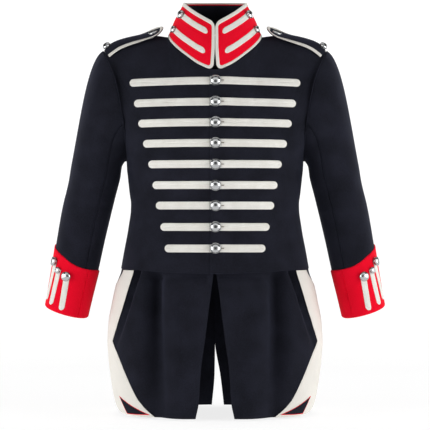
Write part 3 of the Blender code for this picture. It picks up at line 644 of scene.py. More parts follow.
# The nap of milled wool is under a millimetre; it is drawn about three times coarser so that it shows.
finishes = {
    # A deep, soft blue-black with a faint glow at its edges.
    "navyWool": milledWool("navy milled wool broadcloth", "#0d0e14", "#1d1e28", 0.13, "#9aa0c4",
                           0.0016, 0.045, 0.0004),
    # A strong flat red.
    "redWool": milledWool("red milled wool broadcloth", "#cf021d", "#de0526", 0.04, "#ff8f8f",
                          0.0014, 0.040, 0.0003),
    # A warm white that shades softly.
    "whiteWool": milledWool("white milled wool cloth", "#cbc8c1", "#d5d2cc", 0.05, "#ffffff",
                            0.0014, 0.050, 0.0002),
    # A whiter, finer surface than the wool, on the modelled ribs of the braid.
    "lace": milledWool("woven worsted lace", "#cdcac3", "#dddcd7", 0.05, "#ffffff", 0.0008, 0.020, 0.0002),
    # A dull brown line beside each front button.
    "thread": milledWool("twisted buttonhole thread", "#57503f", "#70685a", 0.05, "#ffffff",
                         0.0008, 0.020, 0.0001),
    # Bright points with dark middles.
    "silver": polishedSilver("stamped and plated silver", "#b4b5b6", 0.004),
}
print("materials made")


# Builders

def addMesh(name, points, faces, finish, sharpFrom=50):
    mesh = bpy.data.meshes.new(name)
    mesh.from_pydata(points.reshape(-1, 3).tolist(), [], faces)
    shell = bmesh.new()
    shell.from_mesh(mesh)
    bmesh.ops.recalc_face_normals(shell, faces=shell.faces)
    shell.to_mesh(mesh)
    shell.free()
    mesh.shade_smooth()
    mesh.set_sharp_from_angle(angle=math.radians(sharpFrom))
    mesh.materials.append(finishes[finish])
    obj = bpy.data.objects.new(name, mesh)
    bpy.context.scene.collection.objects.link(obj)
    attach(obj, "root")
    return obj


def shellFaces(rows, cols, closed):
    # Outside, inside and rim of two grids of points; a closed one joins its last column to its first.
    number = np.arange(2 * rows * cols).reshape(2, rows, cols)
    if closed:
        number = np.concatenate((number, number[:, :, :1]), axis=2)
    low = number[:, :-1]
    high = number[:, 1:]
    outside = np.stack((low[0, :, :-1], low[0, :, 1:], high[0, :, 1:], high[0, :, :-1]), axis=-1)
    inside = np.stack((low[1, :, :-1], high[1, :, :-1], high[1, :, 1:], low[1, :, 1:]), axis=-1)
    rims = [number[:, 0, :], number[:, -1, ::-1]]
    if not closed:
        rims.extend((number[:, :, -1], number[:, ::-1, 0]))
    edges = [np.stack((rim[0, :-1], rim[1, :-1], rim[1, 1:], rim[0, 1:]), axis=-1) for rim in rims]
    faces = [outside.reshape(-1, 4), inside.reshape(-1, 4)] + edges
    return np.concatenate(faces).tolist()


def shell(name, outer, inner, finish, closed=False):
    rows, cols = outer.shape[:2]
    return addMesh(name, np.stack((outer, inner)), shellFaces(rows, cols, closed), finish)


def graded(start, end, steps, edge):
    # Even steps, with three close ones within the edge at both ends for its roll.
    span = np.linspace(start + edge, end - edge, steps)
    near = np.array((0.0, 0.25, 0.6)) * edge
    return np.concatenate((start + near, span, end - near[::-1]))


def creased(points, out, creases):
    # Soft troughs (below zero) and ridges: full at the first end of each line, gone at its second.
    push = np.zeros(points.shape[:2])
    for x0, z0, x1, z1, depth, width, facing in creases[1:]:
        ax = points[..., 0] - x0
        az = points[..., 2] - z0
        dx = x1 - x0
        dz = z1 - z0
        t = np.clip((ax * dx + az * dz) / (dx * dx + dz * dz), 0, 1)
        away = np.hypot(ax - t * dx, az - t * dz)
        shown = np.clip(0.5 + 2.5 * facing * out[..., 1], 0, 1)
        push = push + depth * np.exp(-(away / width) ** 2) * (1 - t * t) * shown
    return push


def edgeDip(points, sides, depth, reach):
    # How far the outside rolls in towards the named sides of a grid.
    dip = np.zeros(points.shape[:2])
    stepU = np.linalg.norm(np.diff(points, axis=1), axis=-1)
    stepV = np.linalg.norm(np.diff(points, axis=0), axis=-1)
    alongU = np.concatenate((np.zeros((points.shape[0], 1)), np.cumsum(stepU, axis=1)), axis=1)
    alongV = np.concatenate((np.zeros((1, points.shape[1])), np.cumsum(stepV, axis=0)), axis=0)
    away = {"left": alongU, "right": alongU[:, -1:] - alongU, "low": alongV, "high": alongV[-1:] - alongV}
    for side in sides:
        dip = np.maximum(dip, depth * np.exp(-(away[side] / reach) ** 2))
    return dip


def panel(name, surface, us, vs, finish, lift=0.0, thick=clothThick, mirror=False, closed=False, creases=(),
          roll=("left", "right", "low", "high"), rollDepth=0.0008, rollReach=0.0022):
    u, v = np.meshgrid(np.asarray(us, float), np.asarray(vs, float))
    points = surface(u, v)
    out = normals(surface, u, v)
    out[..., 1] = np.where(np.abs(points[..., 1]) < seamPlane, 0, out[..., 1])
    push = creased(points, out, creases) + lift
    flip = np.array((-1.0 if mirror else 1.0, 1.0, 1.0))
    outer = (points + out * (push - edgeDip(points, roll, rollDepth, rollReach))[..., None]) * flip
    inner = (points + out * (push - thick)[..., None]) * flip
    return shell(name, outer, inner, finish, closed)


def stitchRow(name, line, out, finish, pitch=0.0040, run=0.0026, wide=0.0008, high=0.0004):
    # Thread stitches along a line of points, standing a little out of the cloth.
    along = np.concatenate(([0.0], np.cumsum(np.linalg.norm(np.diff(line, axis=0), axis=1))))
    at = np.arange(pitch, along[-1] - pitch / 2, pitch)

    def follow(values, where):
        return np.stack([np.interp(where, along, values[:, i]) for i in range(3)], axis=1)

    middle = follow(line, at)
    up = follow(out, at)
    up = up / length(up)
    ahead = follow(line, at + run / 2) - follow(line, at - run / 2)
    ahead = ahead / length(ahead)
    side = np.cross(up, ahead)
    foot = ((-1, -1, -1), (-1, 1, -1), (-1, 1, 1), (-1, -1, 1))
    crown = ((1, -0.7, -0.6), (1, 0.7, -0.6), (1, 0.7, 0.6), (1, -0.7, 0.6))
    points = [middle + ahead * a * run / 2 + side * b * wide / 2 + up * c * high for c, a, b in foot + crown]
    box = ((0, 3, 2, 1), (4, 5, 6, 7), (0, 1, 5, 4), (1, 2, 6, 5), (2, 3, 7, 6), (3, 0, 4, 7))
    faces = [tuple(8 * i + k for k in face) for i in range(len(at)) for face in box]
    return addMesh(name, np.stack(points, axis=1), faces, finish)


def button(name, profile, radius, place, axis, steps=48):
    # Turned from a profile of radius and height, standing at place with its axis along axis.
    turn = np.linspace(0, 2 * math.pi, steps, endpoint=False)
    reach, height = np.array(profile[1:-1]).T * radius
    ringX = reach[:, None] * np.cos(turn)
    ringY = reach[:, None] * np.sin(turn)
    rings = np.stack((ringX, ringY, height[:, None] + 0 * ringX), axis=-1).reshape(-1, 3)
    ends = np.array(((0, 0, profile[0][1] * radius), (0, 0, profile[-1][1] * radius)))
    spin = np.array(Vector(axis).to_track_quat("Z", "Y").to_matrix())
    points = np.concatenate((rings, ends)) @ spin.T + np.asarray(place)
    count = len(reach)
    number = np.arange(count * steps).reshape(count, steps)
    following = np.roll(number, -1, axis=1)
    sides = np.stack((number[:-1], number[1:], following[1:], following[:-1]), axis=-1)
    cap = [(count * steps, a, b) for a, b in zip(number[0], following[0])]
    foot = [(count * steps + 1, b, a) for a, b in zip(number[-1], following[-1])]
    ends = [tuple(int(i) for i in face) for face in cap + foot]
    return addMesh(name, points, sides.reshape(-1, 4).tolist() + ends, "silver", 35)


def roundTop(height, low, edge, count=9):
    # Quarter-round profile from the middle of a button down to its edge.
    turn = np.linspace(0, math.pi / 2, count)
    return [(edge * math.sin(a), low + (height - low) * math.cos(a)) for a in turn]


# Bodies
bodies = {
    "heights": np.concatenate((np.linspace(0.0, 0.03, 5), np.linspace(0.04, 0.96, 96),
                               np.linspace(0.967, 0.985, 4), np.linspace(0.988, 0.9995, 8))),
    "overlapEdge": -4.7,
    "underlapEdge": -5.2,
    "sideGap": 0.03,
    "seamRoll": {"rollDepth": 0.0024, "rollReach": 0.0014},
    "frontFlat": (0.36, 0.52),
    "frontArea": 0.125,
    "backFlat": (0.56, 0.52),
    "backArea": 0.245,
}
creaseColumns = ("x0", "z0", "x1", "z1", "depth", "width", "facing")
frontCreases = (
    creaseColumns,
    (0.176, -0.250, 0.120, -0.205, -0.0022, 0.009, -1),
    (0.180, -0.285, 0.135, -0.300, -0.0016, 0.010, -1),
    (0.172, -0.345, 0.110, -0.335, -0.0014, 0.008, -1),
    (0.168, -0.372, 0.125, -0.378, -0.0017, 0.007, -1),
    (0.150, -0.480, 0.140, -0.400, -0.0015, 0.011, -1),
)
backCreases = (
    creaseColumns,
    (0.175, -0.240, 0.110, -0.190, -0.0024, 0.010, 1),
    (-0.175, -0.245, -0.105, -0.200, -0.0020, 0.009, 1),
    (0.170, -0.350, 0.090, -0.335, -0.0018, 0.009, 1),
    (-0.170, -0.345, -0.085, -0.340, -0.0015, 0.008, 1),
    (0.160, -0.375, 0.100, -0.385, -0.0013, 0.007, 1),
    (-0.165, -0.378, -0.110, -0.380, -0.0017, 0.008, 1),
    (0.060, -0.480, 0.045, -0.390, -0.0014, 0.012, 1),
    (-0.075, -0.482, -0.060, -0.400, -0.0012, 0.010, 1),
)


def bodyAngles(start, end, steps=84):
    return np.radians(graded(start, end, steps, 0.7))


sideSeam = 90 - bodies["sideGap"]
leftAngles = bodyAngles(bodies["overlapEdge"], sideSeam)
rightAngles = bodyAngles(bodies["underlapEdge"], sideSeam)
backAngles = bodyAngles(180 - sideSeam, 180 + sideSeam, 140)
settings = {"creases": frontCreases, "roll": ("left", "high"), **bodies["seamRoll"]}
leftCloth = panel("frontLeftCloth", leftFront, leftAngles, bodies["heights"], "navyWool", **settings)
rightCloth = panel("frontRightCloth", softBody, rightAngles, bodies["heights"], "navyWool", mirror=True,
                   **settings)
backCloth = panel("backCloth", softBody, backAngles, bodies["heights"], "navyWool", creases=backCreases,
                  roll=("high",), **bodies["seamRoll"])
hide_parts("front_left")
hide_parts("front_right")
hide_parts("back")
print("bodies made")

# Sleeves and cuffs
sleeves = {
    "gap": 0.05,
    "cuffSeam": -36.0,
    "cuffRound": 359.8,
    "cuffRoll": {"rollDepth": 0.0018, "rollReach": 0.0011},
    "heights": np.concatenate((np.linspace(0.0, 0.985, 104), np.linspace(0.989, 1.0, 5))),
    "topFlat": (0.25, 0.52),
    "topArea": 0.105,
    "underFlat": (0.14, 0.34),
    "underArea": 0.036,
    "cuffFlat": (0.33, 0.13),
    "cuffArea": 0.0355,
}
sleeveCreases = (
    creaseColumns,
    (0.212, -0.225, 0.262, -0.185, -0.0028, 0.012, -1),
    (0.222, -0.250, 0.285, -0.240, -0.0018, 0.014, -1),
    (0.226, -0.330, 0.280, -0.318, -0.0022, 0.010, -1),
    (0.230, -0.356, 0.292, -0.352, -0.0028, 0.009, -1),
    (0.235, -0.384, 0.275, -0.392, -0.0018, 0.009, -1),
    (0.308, -0.300, 0.290, -0.390, -0.0016, 0.018, -1),
    (0.215, -0.225, 0.265, -0.195, -0.0026, 0.012, 1),
    (0.228, -0.335, 0.285, -0.325, -0.0024, 0.011, 1),
    (0.233, -0.366, 0.295, -0.370, -0.0020, 0.009, 1),
    (0.318, -0.310, 0.290, -0.370, -0.0018, 0.016, 1),
)
seam = sleeveSeam
topAngles = np.radians(graded(-seam + sleeves["gap"], 180 + seam - sleeves["gap"], 72, 2.2))
underAngles = np.radians(graded(180 + seam + sleeves["gap"], 360 - seam - sleeves["gap"], 38, 2.2))
cuffAngles = np.radians(graded(sleeves["cuffSeam"], sleeves["cuffSeam"] + sleeves["cuffRound"], 96, 2.4))
settings = {"creases": sleeveCreases, "roll": ("left", "right", "high"), **bodies["seamRoll"]}
for word, mirror in (("left", False), ("right", True)):
    topCloth = panel(f"topSleeve{word.title()}", sleeve, topAngles, sleeves["heights"], "navyWool",
                     mirror=mirror, **settings)
    underCloth = panel(f"underSleeve{word.title()}", sleeve, underAngles, sleeves["heights"], "navyWool",
                       mirror=mirror, **settings)
    panel(f"cuffCloth{word.title()}", cuff, cuffAngles, graded(0.0, 1.0, 30, 0.03),
                            "redWool", lift=cuffLift, mirror=mirror, closed=True, **sleeves["cuffRoll"])
    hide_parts(f"top_sleeve_{word}")
    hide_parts(f"under_sleeve_{word}")
    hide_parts(f"cuff_{word}")
print("sleeves made")

# Skirts and their turned-back white lining
skirts = {
    "heights": np.concatenate((np.linspace(skirtHemZ, -0.780, 5), np.linspace(-0.776, skirtTopZ, 66))),
    "liningHeights": np.concatenate((np.linspace(-0.7862, -0.779, 5), np.linspace(-0.775, turnbackPointZ, 32),
                                     np.linspace(turnbackPointZ, -0.4880, 36)[1:])),
    "shares": graded(0, 1, 70, 0.016),
    "liningShares": graded(0, 1, 64, 0.03),
    "liningThick": 0.0012,
    "stitchZ": -0.7745,
    "stitchFrom": 104.0,
    "stitchTo": 179.0,
    "frontFlat": (0.33, 0.31),
    "frontArea": 0.092,
    "rearFlat": (0.30, 0.31),
    "rearArea": 0.086,
    "liningFlat": (0.25, 0.30),
    "liningArea": 0.053,
}
# Patch at the low corner of each turned-back lining: angle and height of its corners, and for each layer
# how far it grows past them and how high it lies.
ornament = {"corners": ((70.0, -0.7503), (64.9, -0.7812), (51.4, -0.7796)), "thick": 0.0007,
            "layers": (("Edge", 0.14, "redWool", 0.0005), ("", 0.0, "navyWool", 0.0012)),
            "flat": (0.065, 0.035), "area": 0.00095}
# Troughs and ridges of the skirts of each side; the first runs just inside the turned-back lining.
skirtCreases = {
    "left": (
        creaseColumns,
        (0.159, -0.485, 0.209, -0.655, -0.0140, 0.0052, -1),
        (0.131, -0.498, 0.120, -0.810, -0.0260, 0.0175, -1),
        (0.112, -0.505, 0.125, -0.600, -0.0060, 0.0130, -1),
        (0.082, -0.600, 0.062, -0.800, 0.0060, 0.0200, -1),
        (0.150, -0.690, 0.163, -0.600, 0.0040, 0.0140, -1),
        (0.010, -0.499, 0.150, -0.498, -0.0085, 0.0075, -1),
        (0.140, -0.560, 0.120, -0.780, -0.0150, 0.0180, 1),
        (0.070, -0.540, 0.055, -0.770, 0.0060, 0.0190, 1),
        (0.000, -0.440, 0.000, -0.760, -0.0040, 0.0100, 1),
    ),
    "right": (
        creaseColumns,
        (0.159, -0.485, 0.209, -0.655, -0.0140, 0.0052, -1),
        (0.127, -0.500, 0.114, -0.810, -0.0270, 0.0165, -1),
        (0.116, -0.500, 0.130, -0.610, -0.0055, 0.0140, -1),
        (0.078, -0.570, 0.066, -0.800, 0.0060, 0.0180, -1),
        (0.155, -0.700, 0.160, -0.620, 0.0035, 0.0150, -1),
        (0.020, -0.499, 0.150, -0.498, -0.0085, 0.0075, -1),
        (0.133, -0.550, 0.126, -0.780, -0.0150, 0.0170, 1),
        (0.065, -0.530, 0.060, -0.760, 0.0050, 0.0210, 1),
    ),
}
liningRear = (
    ("z", "angle"),
    (-0.7865, 139.5),
    (-0.6344, 111.5),
    (-0.5650, 117.7),
    (-0.5400, 104.0),
    (-0.5250, 92.0),
    (-0.5120, 83.0),
    (-0.5000, 79.5),
    (-0.4880, 77.0),
)
for word, mirror in (("left", False), ("right", True)):
    def frontSkirt(share, z):
        start = np.radians(read(frontOpening, "z", "angle", z))
        return skirt(start + (math.radians(skirtSeam - skirtSeamGap) - start) * share, z)

    def rearSkirt(share, z, vent=word):
        end = np.radians(180 - read(backVent, "z", vent, z))
        start = math.radians(skirtSeam + skirtSeamGap)
        return skirt(start + (end - start) * share, z)

    def lining(share, z):
        start = np.radians(corners(turnbackEdge, "z", "angle", z))
        end = np.minimum(2 * math.radians(skirtSeam) - start, np.radians(read(liningRear, "z", "angle", z)))
        return skirt(start + (end - start) * share, z)

    settings = {"mirror": mirror, "creases": skirtCreases[word]}
    frontCloth = panel(f"frontSkirt{word.title()}", frontSkirt, skirts["shares"], skirts["heights"],
                       "navyWool", roll=("left", "low"), **settings)
    rearCloth = panel(f"backSkirt{word.title()}", rearSkirt, skirts["shares"], skirts["heights"],
                      "navyWool", roll=("right", "low"), **settings)
    whiteCloth = panel(f"turnback{word.title()}", lining, skirts["liningShares"], skirts["liningHeights"],
                       "whiteWool", lift=turnbackLift, thick=skirts["liningThick"], mirror=mirror)
    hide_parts(f"front_skirt_{word}")
    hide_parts(f"back_skirt_{word}")
    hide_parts(f"turnback_{word}")
    # Row of sewing inside the back hem.
    stitchEnd = skirts["stitchTo"] - read(backVent, "z", word, skirts["stitchZ"])
    turn = np.linspace(skirts["stitchFrom"], stitchEnd, 120)[None]
    seat = skirt(np.radians(turn), np.full_like(turn, skirts["stitchZ"]))
    out = normals(skirt, np.radians(turn), np.full_like(turn, skirts["stitchZ"]))
    seat = seat + out * (creased(seat, out, skirtCreases[word]) - clothThick)[..., None]
    flip = np.array((-1.0 if mirror else 1.0, 1.0, 1.0))
    stitchRow(f"hemStitch{word.title()}", (seat * flip)[0], (-out * flip)[0], "navyWool")
    for part, grow, finish, lift in ornament["layers"]:
        heart = np.mean(ornament["corners"], axis=0)
        tip, low, inner = [heart + (np.array(corner) - heart) * (1 + grow) for corner in ornament["corners"]]

        def triangle(share, down):
            angle = tip[0] + (low[0] + (inner[0] - low[0]) * share - tip[0]) * down
            return skirt(np.radians(angle), tip[1] + (low[1] + (inner[1] - low[1]) * share - tip[1]) * down)

        patch = panel(f"ornament{part}{word.title()}", triangle, np.linspace(0, 1, 17),
                      np.linspace(0.02, 1, 17), finish, lift=turnbackLift + lift, thick=ornament["thick"],
                      mirror=mirror, roll=())
print("skirts made")

# Stand collar: red outside, navy facing inside, flat white piping round its edges
stand = {"cloth": 0.0014, "facing": 0.0012, "facingTop": 0.968, "sunk": 0.0001, "topCorner": 0.010,
         "lowCorner": 0.010, "innerCorner": 0.0045, "outset": 0.0003, "girth": 0.097, "gap": 0.0007,
         "lowGap": 0.0036, "gapTop": 0.50, "gapCurve": 1.3, "pipingThick": 0.0011, "pipingFoot": 0.0002,
         "pipingOver": 0.0022, "overFrom": 0.9, "overRun": 0.1, "flat": (0.58, 0.12), "area": 0.0425}


def collarTall(angle):
    return length(collar(angle, np.ones_like(angle)) - collar(angle, np.zeros_like(angle)))[..., 0]


def frontGap(v):
    # Half the opening between the collar's ends, as an angle: they meet above and part below.
    part = np.clip((stand["gapTop"] - v) / stand["gapTop"], 0, 1)
    return (stand["gap"] + (stand["lowGap"] - stand["gap"]) * part ** stand["gapCurve"]) / stand["girth"]


def cornered(share, v):
    # The collar with its front corners rounded off.
    tall = collarTall(np.full_like(v, math.radians(collarOpening)))
    inset = 0 * v
    for away, corner in ((v * tall, stand["lowCorner"]), ((1 - v) * tall, stand["topCorner"])):
        short = np.clip(corner - away, 0, corner)
        inset = np.maximum(inset, corner - np.sqrt(corner ** 2 - short ** 2))
    start = frontGap(v) + inset / stand["girth"]
    return collar(start + (2 * math.pi - 2 * start) * share, v)


def edgeLoop(inset, low, top):
    # Closed path at a distance inside the collar's edges, with rounded corners, as angles and height shares.
    quarter = np.linspace(0, math.pi / 2, 9)
    frontTall = collarTall(np.array([math.radians(collarOpening)]))[0]
    side = np.linspace(0, 1, 22)[1:-1]
    sweep = np.linspace(0, 1, 150)[1:-1]

    def corner(radius, isTop):
        v = (inset + radius - radius * np.sin(quarter)) / frontTall
        v = 1 - v if isTop else v
        return (inset + radius - radius * np.cos(quarter)) / stand["girth"] + frontGap(v), v

    lowU, lowV = corner(low, False)
    topU, topV = corner(top, True)
    lowSweep = lowU[-1] + (2 * math.pi - 2 * lowU[-1]) * sweep
    topSweep = topU[-1] + (2 * math.pi - 2 * topU[-1]) * sweep
    climb = lowV[0] + (topV[0] - lowV[0]) * side
    edge = inset / stand["girth"] + frontGap(climb)
    whole = 2 * math.pi
    lowEdge = inset / collarTall(lowSweep)
    topEdge = 1 - inset / collarTall(topSweep[::-1])
    u = (lowU, lowSweep, whole - lowU[::-1], whole - edge, whole - topU, topSweep[::-1], topU[::-1],
         edge[::-1])
    v = (lowV, lowEdge, lowV[::-1], climb, topV, topEdge, topV[::-1], climb[::-1])
    return np.concatenate(u), np.concatenate(v)


collarShare = graded(0, 1, 170, 0.008)
collarHeights = graded(0, 1, 26, 0.05)
redCollar = panel("collarCloth", cornered, collarShare, collarHeights, "redWool", thick=stand["cloth"])
facing = panel("collarFacing", cornered, collarShare, collarHeights * stand["facingTop"], "navyWool",
               lift=-stand["cloth"] - stand["sunk"], thick=stand["facing"], roll=())
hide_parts("collar")
outerU, outerV = edgeLoop(-stand["outset"], stand["lowCorner"], stand["topCorner"])
innerU, innerV = edgeLoop(piping, stand["innerCorner"], stand["innerCorner"])
across = np.linspace(0, 1, 9)[:, None]
pipingU = outerU + (innerU - outerU) * across
pipingV = outerV + (innerV - outerV) * across
pipingPoints = collar(pipingU, pipingV)
pipingOut = normals(collar, pipingU, pipingV)
over = np.clip((pipingV - stand["overFrom"]) / stand["overRun"], 0, 1)
pipingPoints[..., 2] += stand["pipingOver"] * over * (1 - across)
pipingRise = stand["pipingFoot"] + stand["pipingThick"] * (1 - (2 * across - 1) ** 4) + 0 * pipingU
collarEdge = shell("collarPiping", pipingPoints + pipingOut * pipingRise[..., None],
                   pipingPoints - pipingOut * stand["sunk"], "whiteWool", closed=True)
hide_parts("collar_piping")
print("collar made")

# Lace and tape: a narrow braid laid double and turned round at its end
braid = {"thick": 0.0011, "foot": 0.0002, "clear": 0.0001, "rib": 0.00022, "ribPitch": 0.0021,
         "groove": 0.0007, "grooveSize": 0.0006, "eye": 0.0010, "eyeSize": 0.0011}


def braidRise(along, across, start, end, half):
    spine = np.clip(along, start, end - half)
    away = np.hypot(along - spine, across)
    edge = np.clip(away / half, 0, 1)
    rise = braid["foot"] + braid["thick"] * (1 - edge ** 8)
    rise = rise + braid["rib"] * np.cos(2 * math.pi * away / braid["ribPitch"]) * (1 - edge ** 8)
    rise = rise - braid["groove"] * np.exp(-(away / braid["grooveSize"]) ** 2)
    turned = np.hypot(along - (end - half), across)
    return np.maximum(rise - braid["eye"] * np.exp(-(turned / braid["eyeSize"]) ** 2), braid["foot"])


def tape(name, place, start, end, half, steps, sides=29):
    turn = np.radians(np.linspace(0, 88, 15))[1:]
    runs = np.concatenate((np.linspace(start, end - half, steps), end - half + half * np.sin(turn)))
    along, share = np.meshgrid(runs, np.linspace(-1, 1, sides))
    past = np.clip(along - (end - half), 0, half)
    wide = share * np.sqrt(half ** 2 - past ** 2)
    points, out = place(along, wide)
    rise = braidRise(along, wide, start, end, half)
    strip = shell(name, points + out * rise[..., None], points + out * braid["clear"], "lace")
    return strip


def sewnButton(name, profile, radius, place, along, lift):
    # A button on the middle of a tape, at a distance along it.
    spot, out = place(np.array([[along]]), np.array([[0.0]]))
    return button(name, profile, radius, spot[0, 0] + out[0, 0] * lift, out[0, 0])


domed = roundTop(0.60, 0.16, 0.88)
domed += [(0.92, 0.15), (0.97, 0.17), (1.0, 0.13), (0.98, 0.05), (0.90, 0.0), (0.0, 0.0)]
ball = roundTop(1.0, 0.46, 1.0)
ball += [(0.97, 0.30), (0.86, 0.16), (0.80, 0.11), (0.88, 0.07), (0.86, 0.0), (0.0, 0.0)]
flat = roundTop(0.34, 0.14, 0.88)
flat += [(0.93, 0.14), (0.98, 0.15), (1.0, 0.11), (0.97, 0.03), (0.90, 0.0), (0.0, 0.0)]
frontButtons = {"radius": 0.0114, "x": 0.001, "lift": 0.0016, "hole": (0.0128, 0.0182), "holeHalf": 0.0007,
                "holeLift": 0.0007, "holeThick": 0.0007}

laceSides = (("left", leftFront, -laceStart, 1.0), ("right", softBody, laceStart + laceClear, -1.0))
for word, surface, start, sign in laceSides:
    flip = np.array((sign, 1.0, 1.0))
    for number, (z, end, droop) in enumerate(laceRows[1:], 1):
        def onFront(along, wide):
            angle, v = find(along, z - droop * (along / end) ** 2 + wide)
            return surface(angle, v) * flip, normals(surface, angle, v) * flip

        strip = tape(f"lace{word.title()}{number}", onFront, start, end, laceHalfWidth, 64)
        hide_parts(f"lace_{word}_{number}")
        if word == "left":
            metal = sewnButton(f"frontButton{number}", domed, frontButtons["radius"], onFront,
                               frontButtons["x"], frontButtons["lift"])
            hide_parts(f"front_button_{number}")

            def onHole(along, wide):
                return onFront(along, wide)[0]

            panel(f"buttonhole{number}", onHole, np.linspace(*frontButtons["hole"], 9),
                  np.linspace(-frontButtons["holeHalf"], frontButtons["holeHalf"], 5), "thread",
                  lift=braid["thick"] + frontButtons["holeLift"], thick=frontButtons["holeThick"], roll=())
print("lace made")

# Collar and cuff tapes with their ball buttons
for word, sign in (("left", 1.0), ("right", -1.0)):
    flip = np.array((sign, 1.0, 1.0))
    for number, (share, outer, inner, radius) in enumerate(collarLoops[1:], 1):
        def onCollar(along, wide):
            angle = math.radians(outer) - along / collarGirth
            v = share + wide / collarTall(angle)
            return collar(angle, v) * flip, normals(collar, angle, v) * flip

        run = math.radians(outer - inner) * collarGirth
        strip = tape(f"collarTape{word.title()}{number}", onCollar, collarTapeStart, run, tapeHalfWidth,
                     50, 25)
        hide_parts(f"collar_loop_{word}_{number}")
        sewnButton(f"collarButton{word.title()}{number}", ball, radius, onCollar, collarButtonInset, ballLift)
    outside = moved(sleeveRing, lambda angle, z: np.full_like(angle, cuffLift))
    for number, (turn, lowTurn, top, low, radius) in enumerate(cuffLoops[1:], 1):
        def onCuff(along, wide):
            angle = np.radians(turn + (lowTurn - turn) * along / (top - low)) + wide / cuffGirth
            return outside(angle, top - along) * flip, normals(outside, angle, top - along) * flip

        strip = tape(f"cuffTape{word.title()}{number}", onCuff, cuffTapeStart, top - low, tapeHalfWidth,
                     50, 25)
        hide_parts(f"cuff_loop_{word}_{number}")
        sewnButton(f"cuffButton{word.title()}{number}", ball, radius, onCuff, buttonInset, ballLift)
print("tapes made")

# Shoulder straps
straps = {"piping": 0.24, "endPiping": 0.047, "pipingThick": 0.0010, "pipingFoot": 0.0002,
          "pipingSink": 0.0003, "buttonSide": 0.1, "buttonGap": 0.0001, "flat": (0.150, 0.060),
          "area": 0.0082, "buttons": (("neck", 0.17, flat, 0.0106), ("sleeve", 0.955, ball, 0.0088))}
strapTip = np.linspace(0.0, strapRound, 26) ** 1.5 / strapRound ** 0.5
strapAlong = np.concatenate((strapTip, np.linspace(0.22, 1.0, 46)))
for word, sign in (("left", 1.0), ("right", -1.0)):
    flip = np.array((sign, 1.0, 1.0))
    d, s = np.meshgrid(graded(-1, 1, 26, 0.08), strapAlong)
    points = strapUnder(s, d)
    out = normals(strapUnder, s, d, strapStep)
    strap = shell(f"shoulderStrap{word.title()}", (points + out * clothThick) * flip, points * flip,
                  "navyWool")
    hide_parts(f"shoulder_strap_{word}")
    edgeS = np.concatenate((strapAlong[::-1], np.zeros(13), strapAlong))
    longEdge = np.ones(len(strapAlong))
    edgeD = np.concatenate((-longEdge, np.linspace(-1, 1, 15)[1:-1], longEdge))
    near = np.clip(1 - edgeS / strapRound, 0, 1) ** 2
    across = np.linspace(0, 1, 9)[:, None]
    pipeS = edgeS + straps["endPiping"] * near * across
    pipeD = edgeD * (1 - straps["piping"] * across)
    points = strapUnder(pipeS, pipeD)
    out = normals(strapUnder, pipeS, pipeD, strapStep)
    rise = straps["pipingThick"] * (1 - (2 * across - 1) ** 4) + 0 * pipeS
    rise = (clothThick + straps["pipingFoot"] + rise)[..., None]
    strapEdge = shell(f"strapPiping{word.title()}", (points + out * rise) * flip,
                      (points + out * (clothThick - straps["pipingSink"])) * flip, "whiteWool")
    for end, at, profile, radius in straps["buttons"]:
        spot = np.array([[at]])
        side = np.array([[straps["buttonSide"]]])
        axis = normals(strapUnder, spot, side, strapStep)[0, 0] * flip
        foot = strapUnder(spot, side)[0, 0] * flip + axis * (clothThick + straps["buttonGap"])
        metal = button(f"strapButton{word.title()}{end.title()}", profile, radius, foot, axis)
        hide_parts(f"strap_button_{word}_{end}")
print("straps made")

# Studio
stage = {"floorZ": -0.7905, "frontY": -2.4, "bendY": 1.2, "bend": 0.9, "top": 1.25, "halfWidth": 2.2,
         "backdropHalf": 0.85, "room": 7.0, "roomZ": -0.4}


def paperSheet(name, profile, across, lightsCloth, shows=True):
    # White paper drawn from its side, as y and height over the floor, and from one x to another.
    points = [(x, y, z + stage["floorZ"]) for y, z in profile for x in across]
    faces = [(2 * i, 2 * i + 1, 2 * i + 3, 2 * i + 2) for i in range(len(profile) - 1)]
    mesh = bpy.data.meshes.new(name)
    mesh.from_pydata(points, [], faces)
    mesh.shade_smooth()
    mesh.materials.append(paper)
    obj = bpy.data.objects.new(name, mesh)
    obj.visible_diffuse = lightsCloth
    obj.visible_camera = shows
    bpy.context.scene.collection.objects.link(obj)


paper, paperTree = newTree("white studio paper")
glow = addNode(paperTree, "ShaderNodeBsdfPrincipled",
               {"Base Color": linear("#909090"), "Roughness": 0.95, "Specular IOR Level": 0.0,
                "Emission Color": linear("#ffffff"), "Emission Strength": 0.82})
addNode(paperTree, "ShaderNodeOutputMaterial", {}, {"Surface": glow.outputs["BSDF"]})
bendTurns = np.linspace(0, math.pi / 2, 13)
bendY = stage["bendY"] + stage["bend"] * np.sin(bendTurns)
bendZ = stage["bend"] * (1 - np.cos(bendTurns))
wide = (-stage["halfWidth"], stage["halfWidth"])
paperSheet("floor", [(stage["frontY"], 0.0), (stage["bendY"], 0.0)], wide, True)
sheetWide = (-stage["backdropHalf"], stage["backdropHalf"])
paperSheet("backdrop", list(zip(bendY, bendZ)) + [(bendY[-1], stage["top"])], sheetWide, False)
# Cards over and beside the camera, seen only in the buttons: the gap between them is the dark middle of each.
paperSheet("topCard", [(-2.6, 1.75), (-1.7, 2.9)], wide, False, False)
paperSheet("leftCard", [(-3.0, -0.4), (-3.0, 2.2)], (-3.2, -1.1), False, False)
paperSheet("rightCard", [(-3.0, -0.4), (-3.0, 2.2)], (1.1, 3.2), False, False)

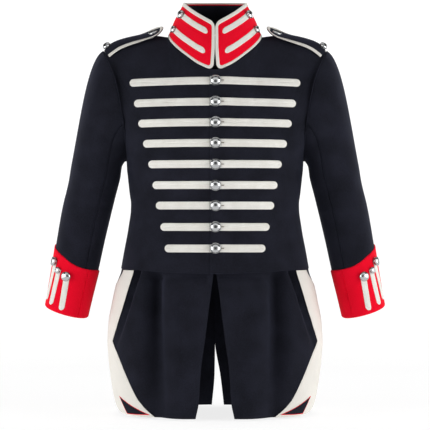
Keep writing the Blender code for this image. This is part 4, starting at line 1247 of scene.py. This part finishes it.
# The white room beyond the paper, for views from the sides and from behind; it lights nothing.
roomWall, roomTree = newTree("white studio wall")
wallGlow = addNode(roomTree, "ShaderNodeEmission", {"Color": linear("#ffffff"), "Strength": 1.0})
addNode(roomTree, "ShaderNodeOutputMaterial", {}, {"Surface": wallGlow.outputs["Emission"]})
bpy.ops.mesh.primitive_uv_sphere_add(segments=48, ring_count=24, radius=stage["room"],
                                     location=(0.0, 0.0, stage["roomZ"]))
room = bpy.context.object
room.name = "room"
room.data.materials.append(roomWall)
room.visible_diffuse = False
room.visible_glossy = False
room.visible_shadow = False


def softbox(name, place, aim, size, power):
    lamp = bpy.data.lights.new(name, "AREA")
    lamp.shape = "RECTANGLE"
    lamp.size = size[0]
    lamp.size_y = size[1]
    lamp.energy = power
    obj = bpy.data.objects.new(name, lamp)
    obj.rotation_euler = (Vector(aim) - Vector(place)).to_track_quat("-Z", "Y").to_euler()
    obj.location = place
    bpy.context.scene.collection.objects.link(obj)


middle = (0.0, 0.0, -0.42)
softbox("leftBox", (-2.5, -1.35, -0.55), middle, (2.6, 3.0), 128)
softbox("rightBox", (2.5, -1.25, -0.55), middle, (2.6, 3.0), 134)
softbox("topBox", (0.0, 0.3, 2.3), middle, (3.0, 1.4), 14)
softbox("rearLeftBox", (-2.4, 2.2, 0.1), middle, (1.8, 2.4), 34)
softbox("rearRightBox", (2.4, 2.2, 0.1), middle, (1.8, 2.4), 34)

world = bpy.data.worlds.new("studio")
world.use_nodes = True
world.node_tree.nodes["Background"].inputs["Color"].default_value = linear("#ffffff")
world.node_tree.nodes["Background"].inputs["Strength"].default_value = 0.05
bpy.context.scene.world = world

# The photo's frame is 430 by 430; 2.1 mm to a pixel in the plane of the shoulders.
view = {"place": (0.0, -3.8, -0.3738), "lens": 151.5, "sensor": 36.0}
lens = bpy.data.cameras.new("camera")
lens.lens = view["lens"]
lens.sensor_width = view["sensor"]
camera = bpy.data.objects.new("camera", lens)
camera.location = view["place"]
camera.rotation_euler = (math.pi / 2, 0.0, 0.0)
bpy.context.scene.collection.objects.link(camera)
bpy.context.scene.camera = camera
bpy.context.scene.view_settings.view_transform = "Standard"
print("studio made")
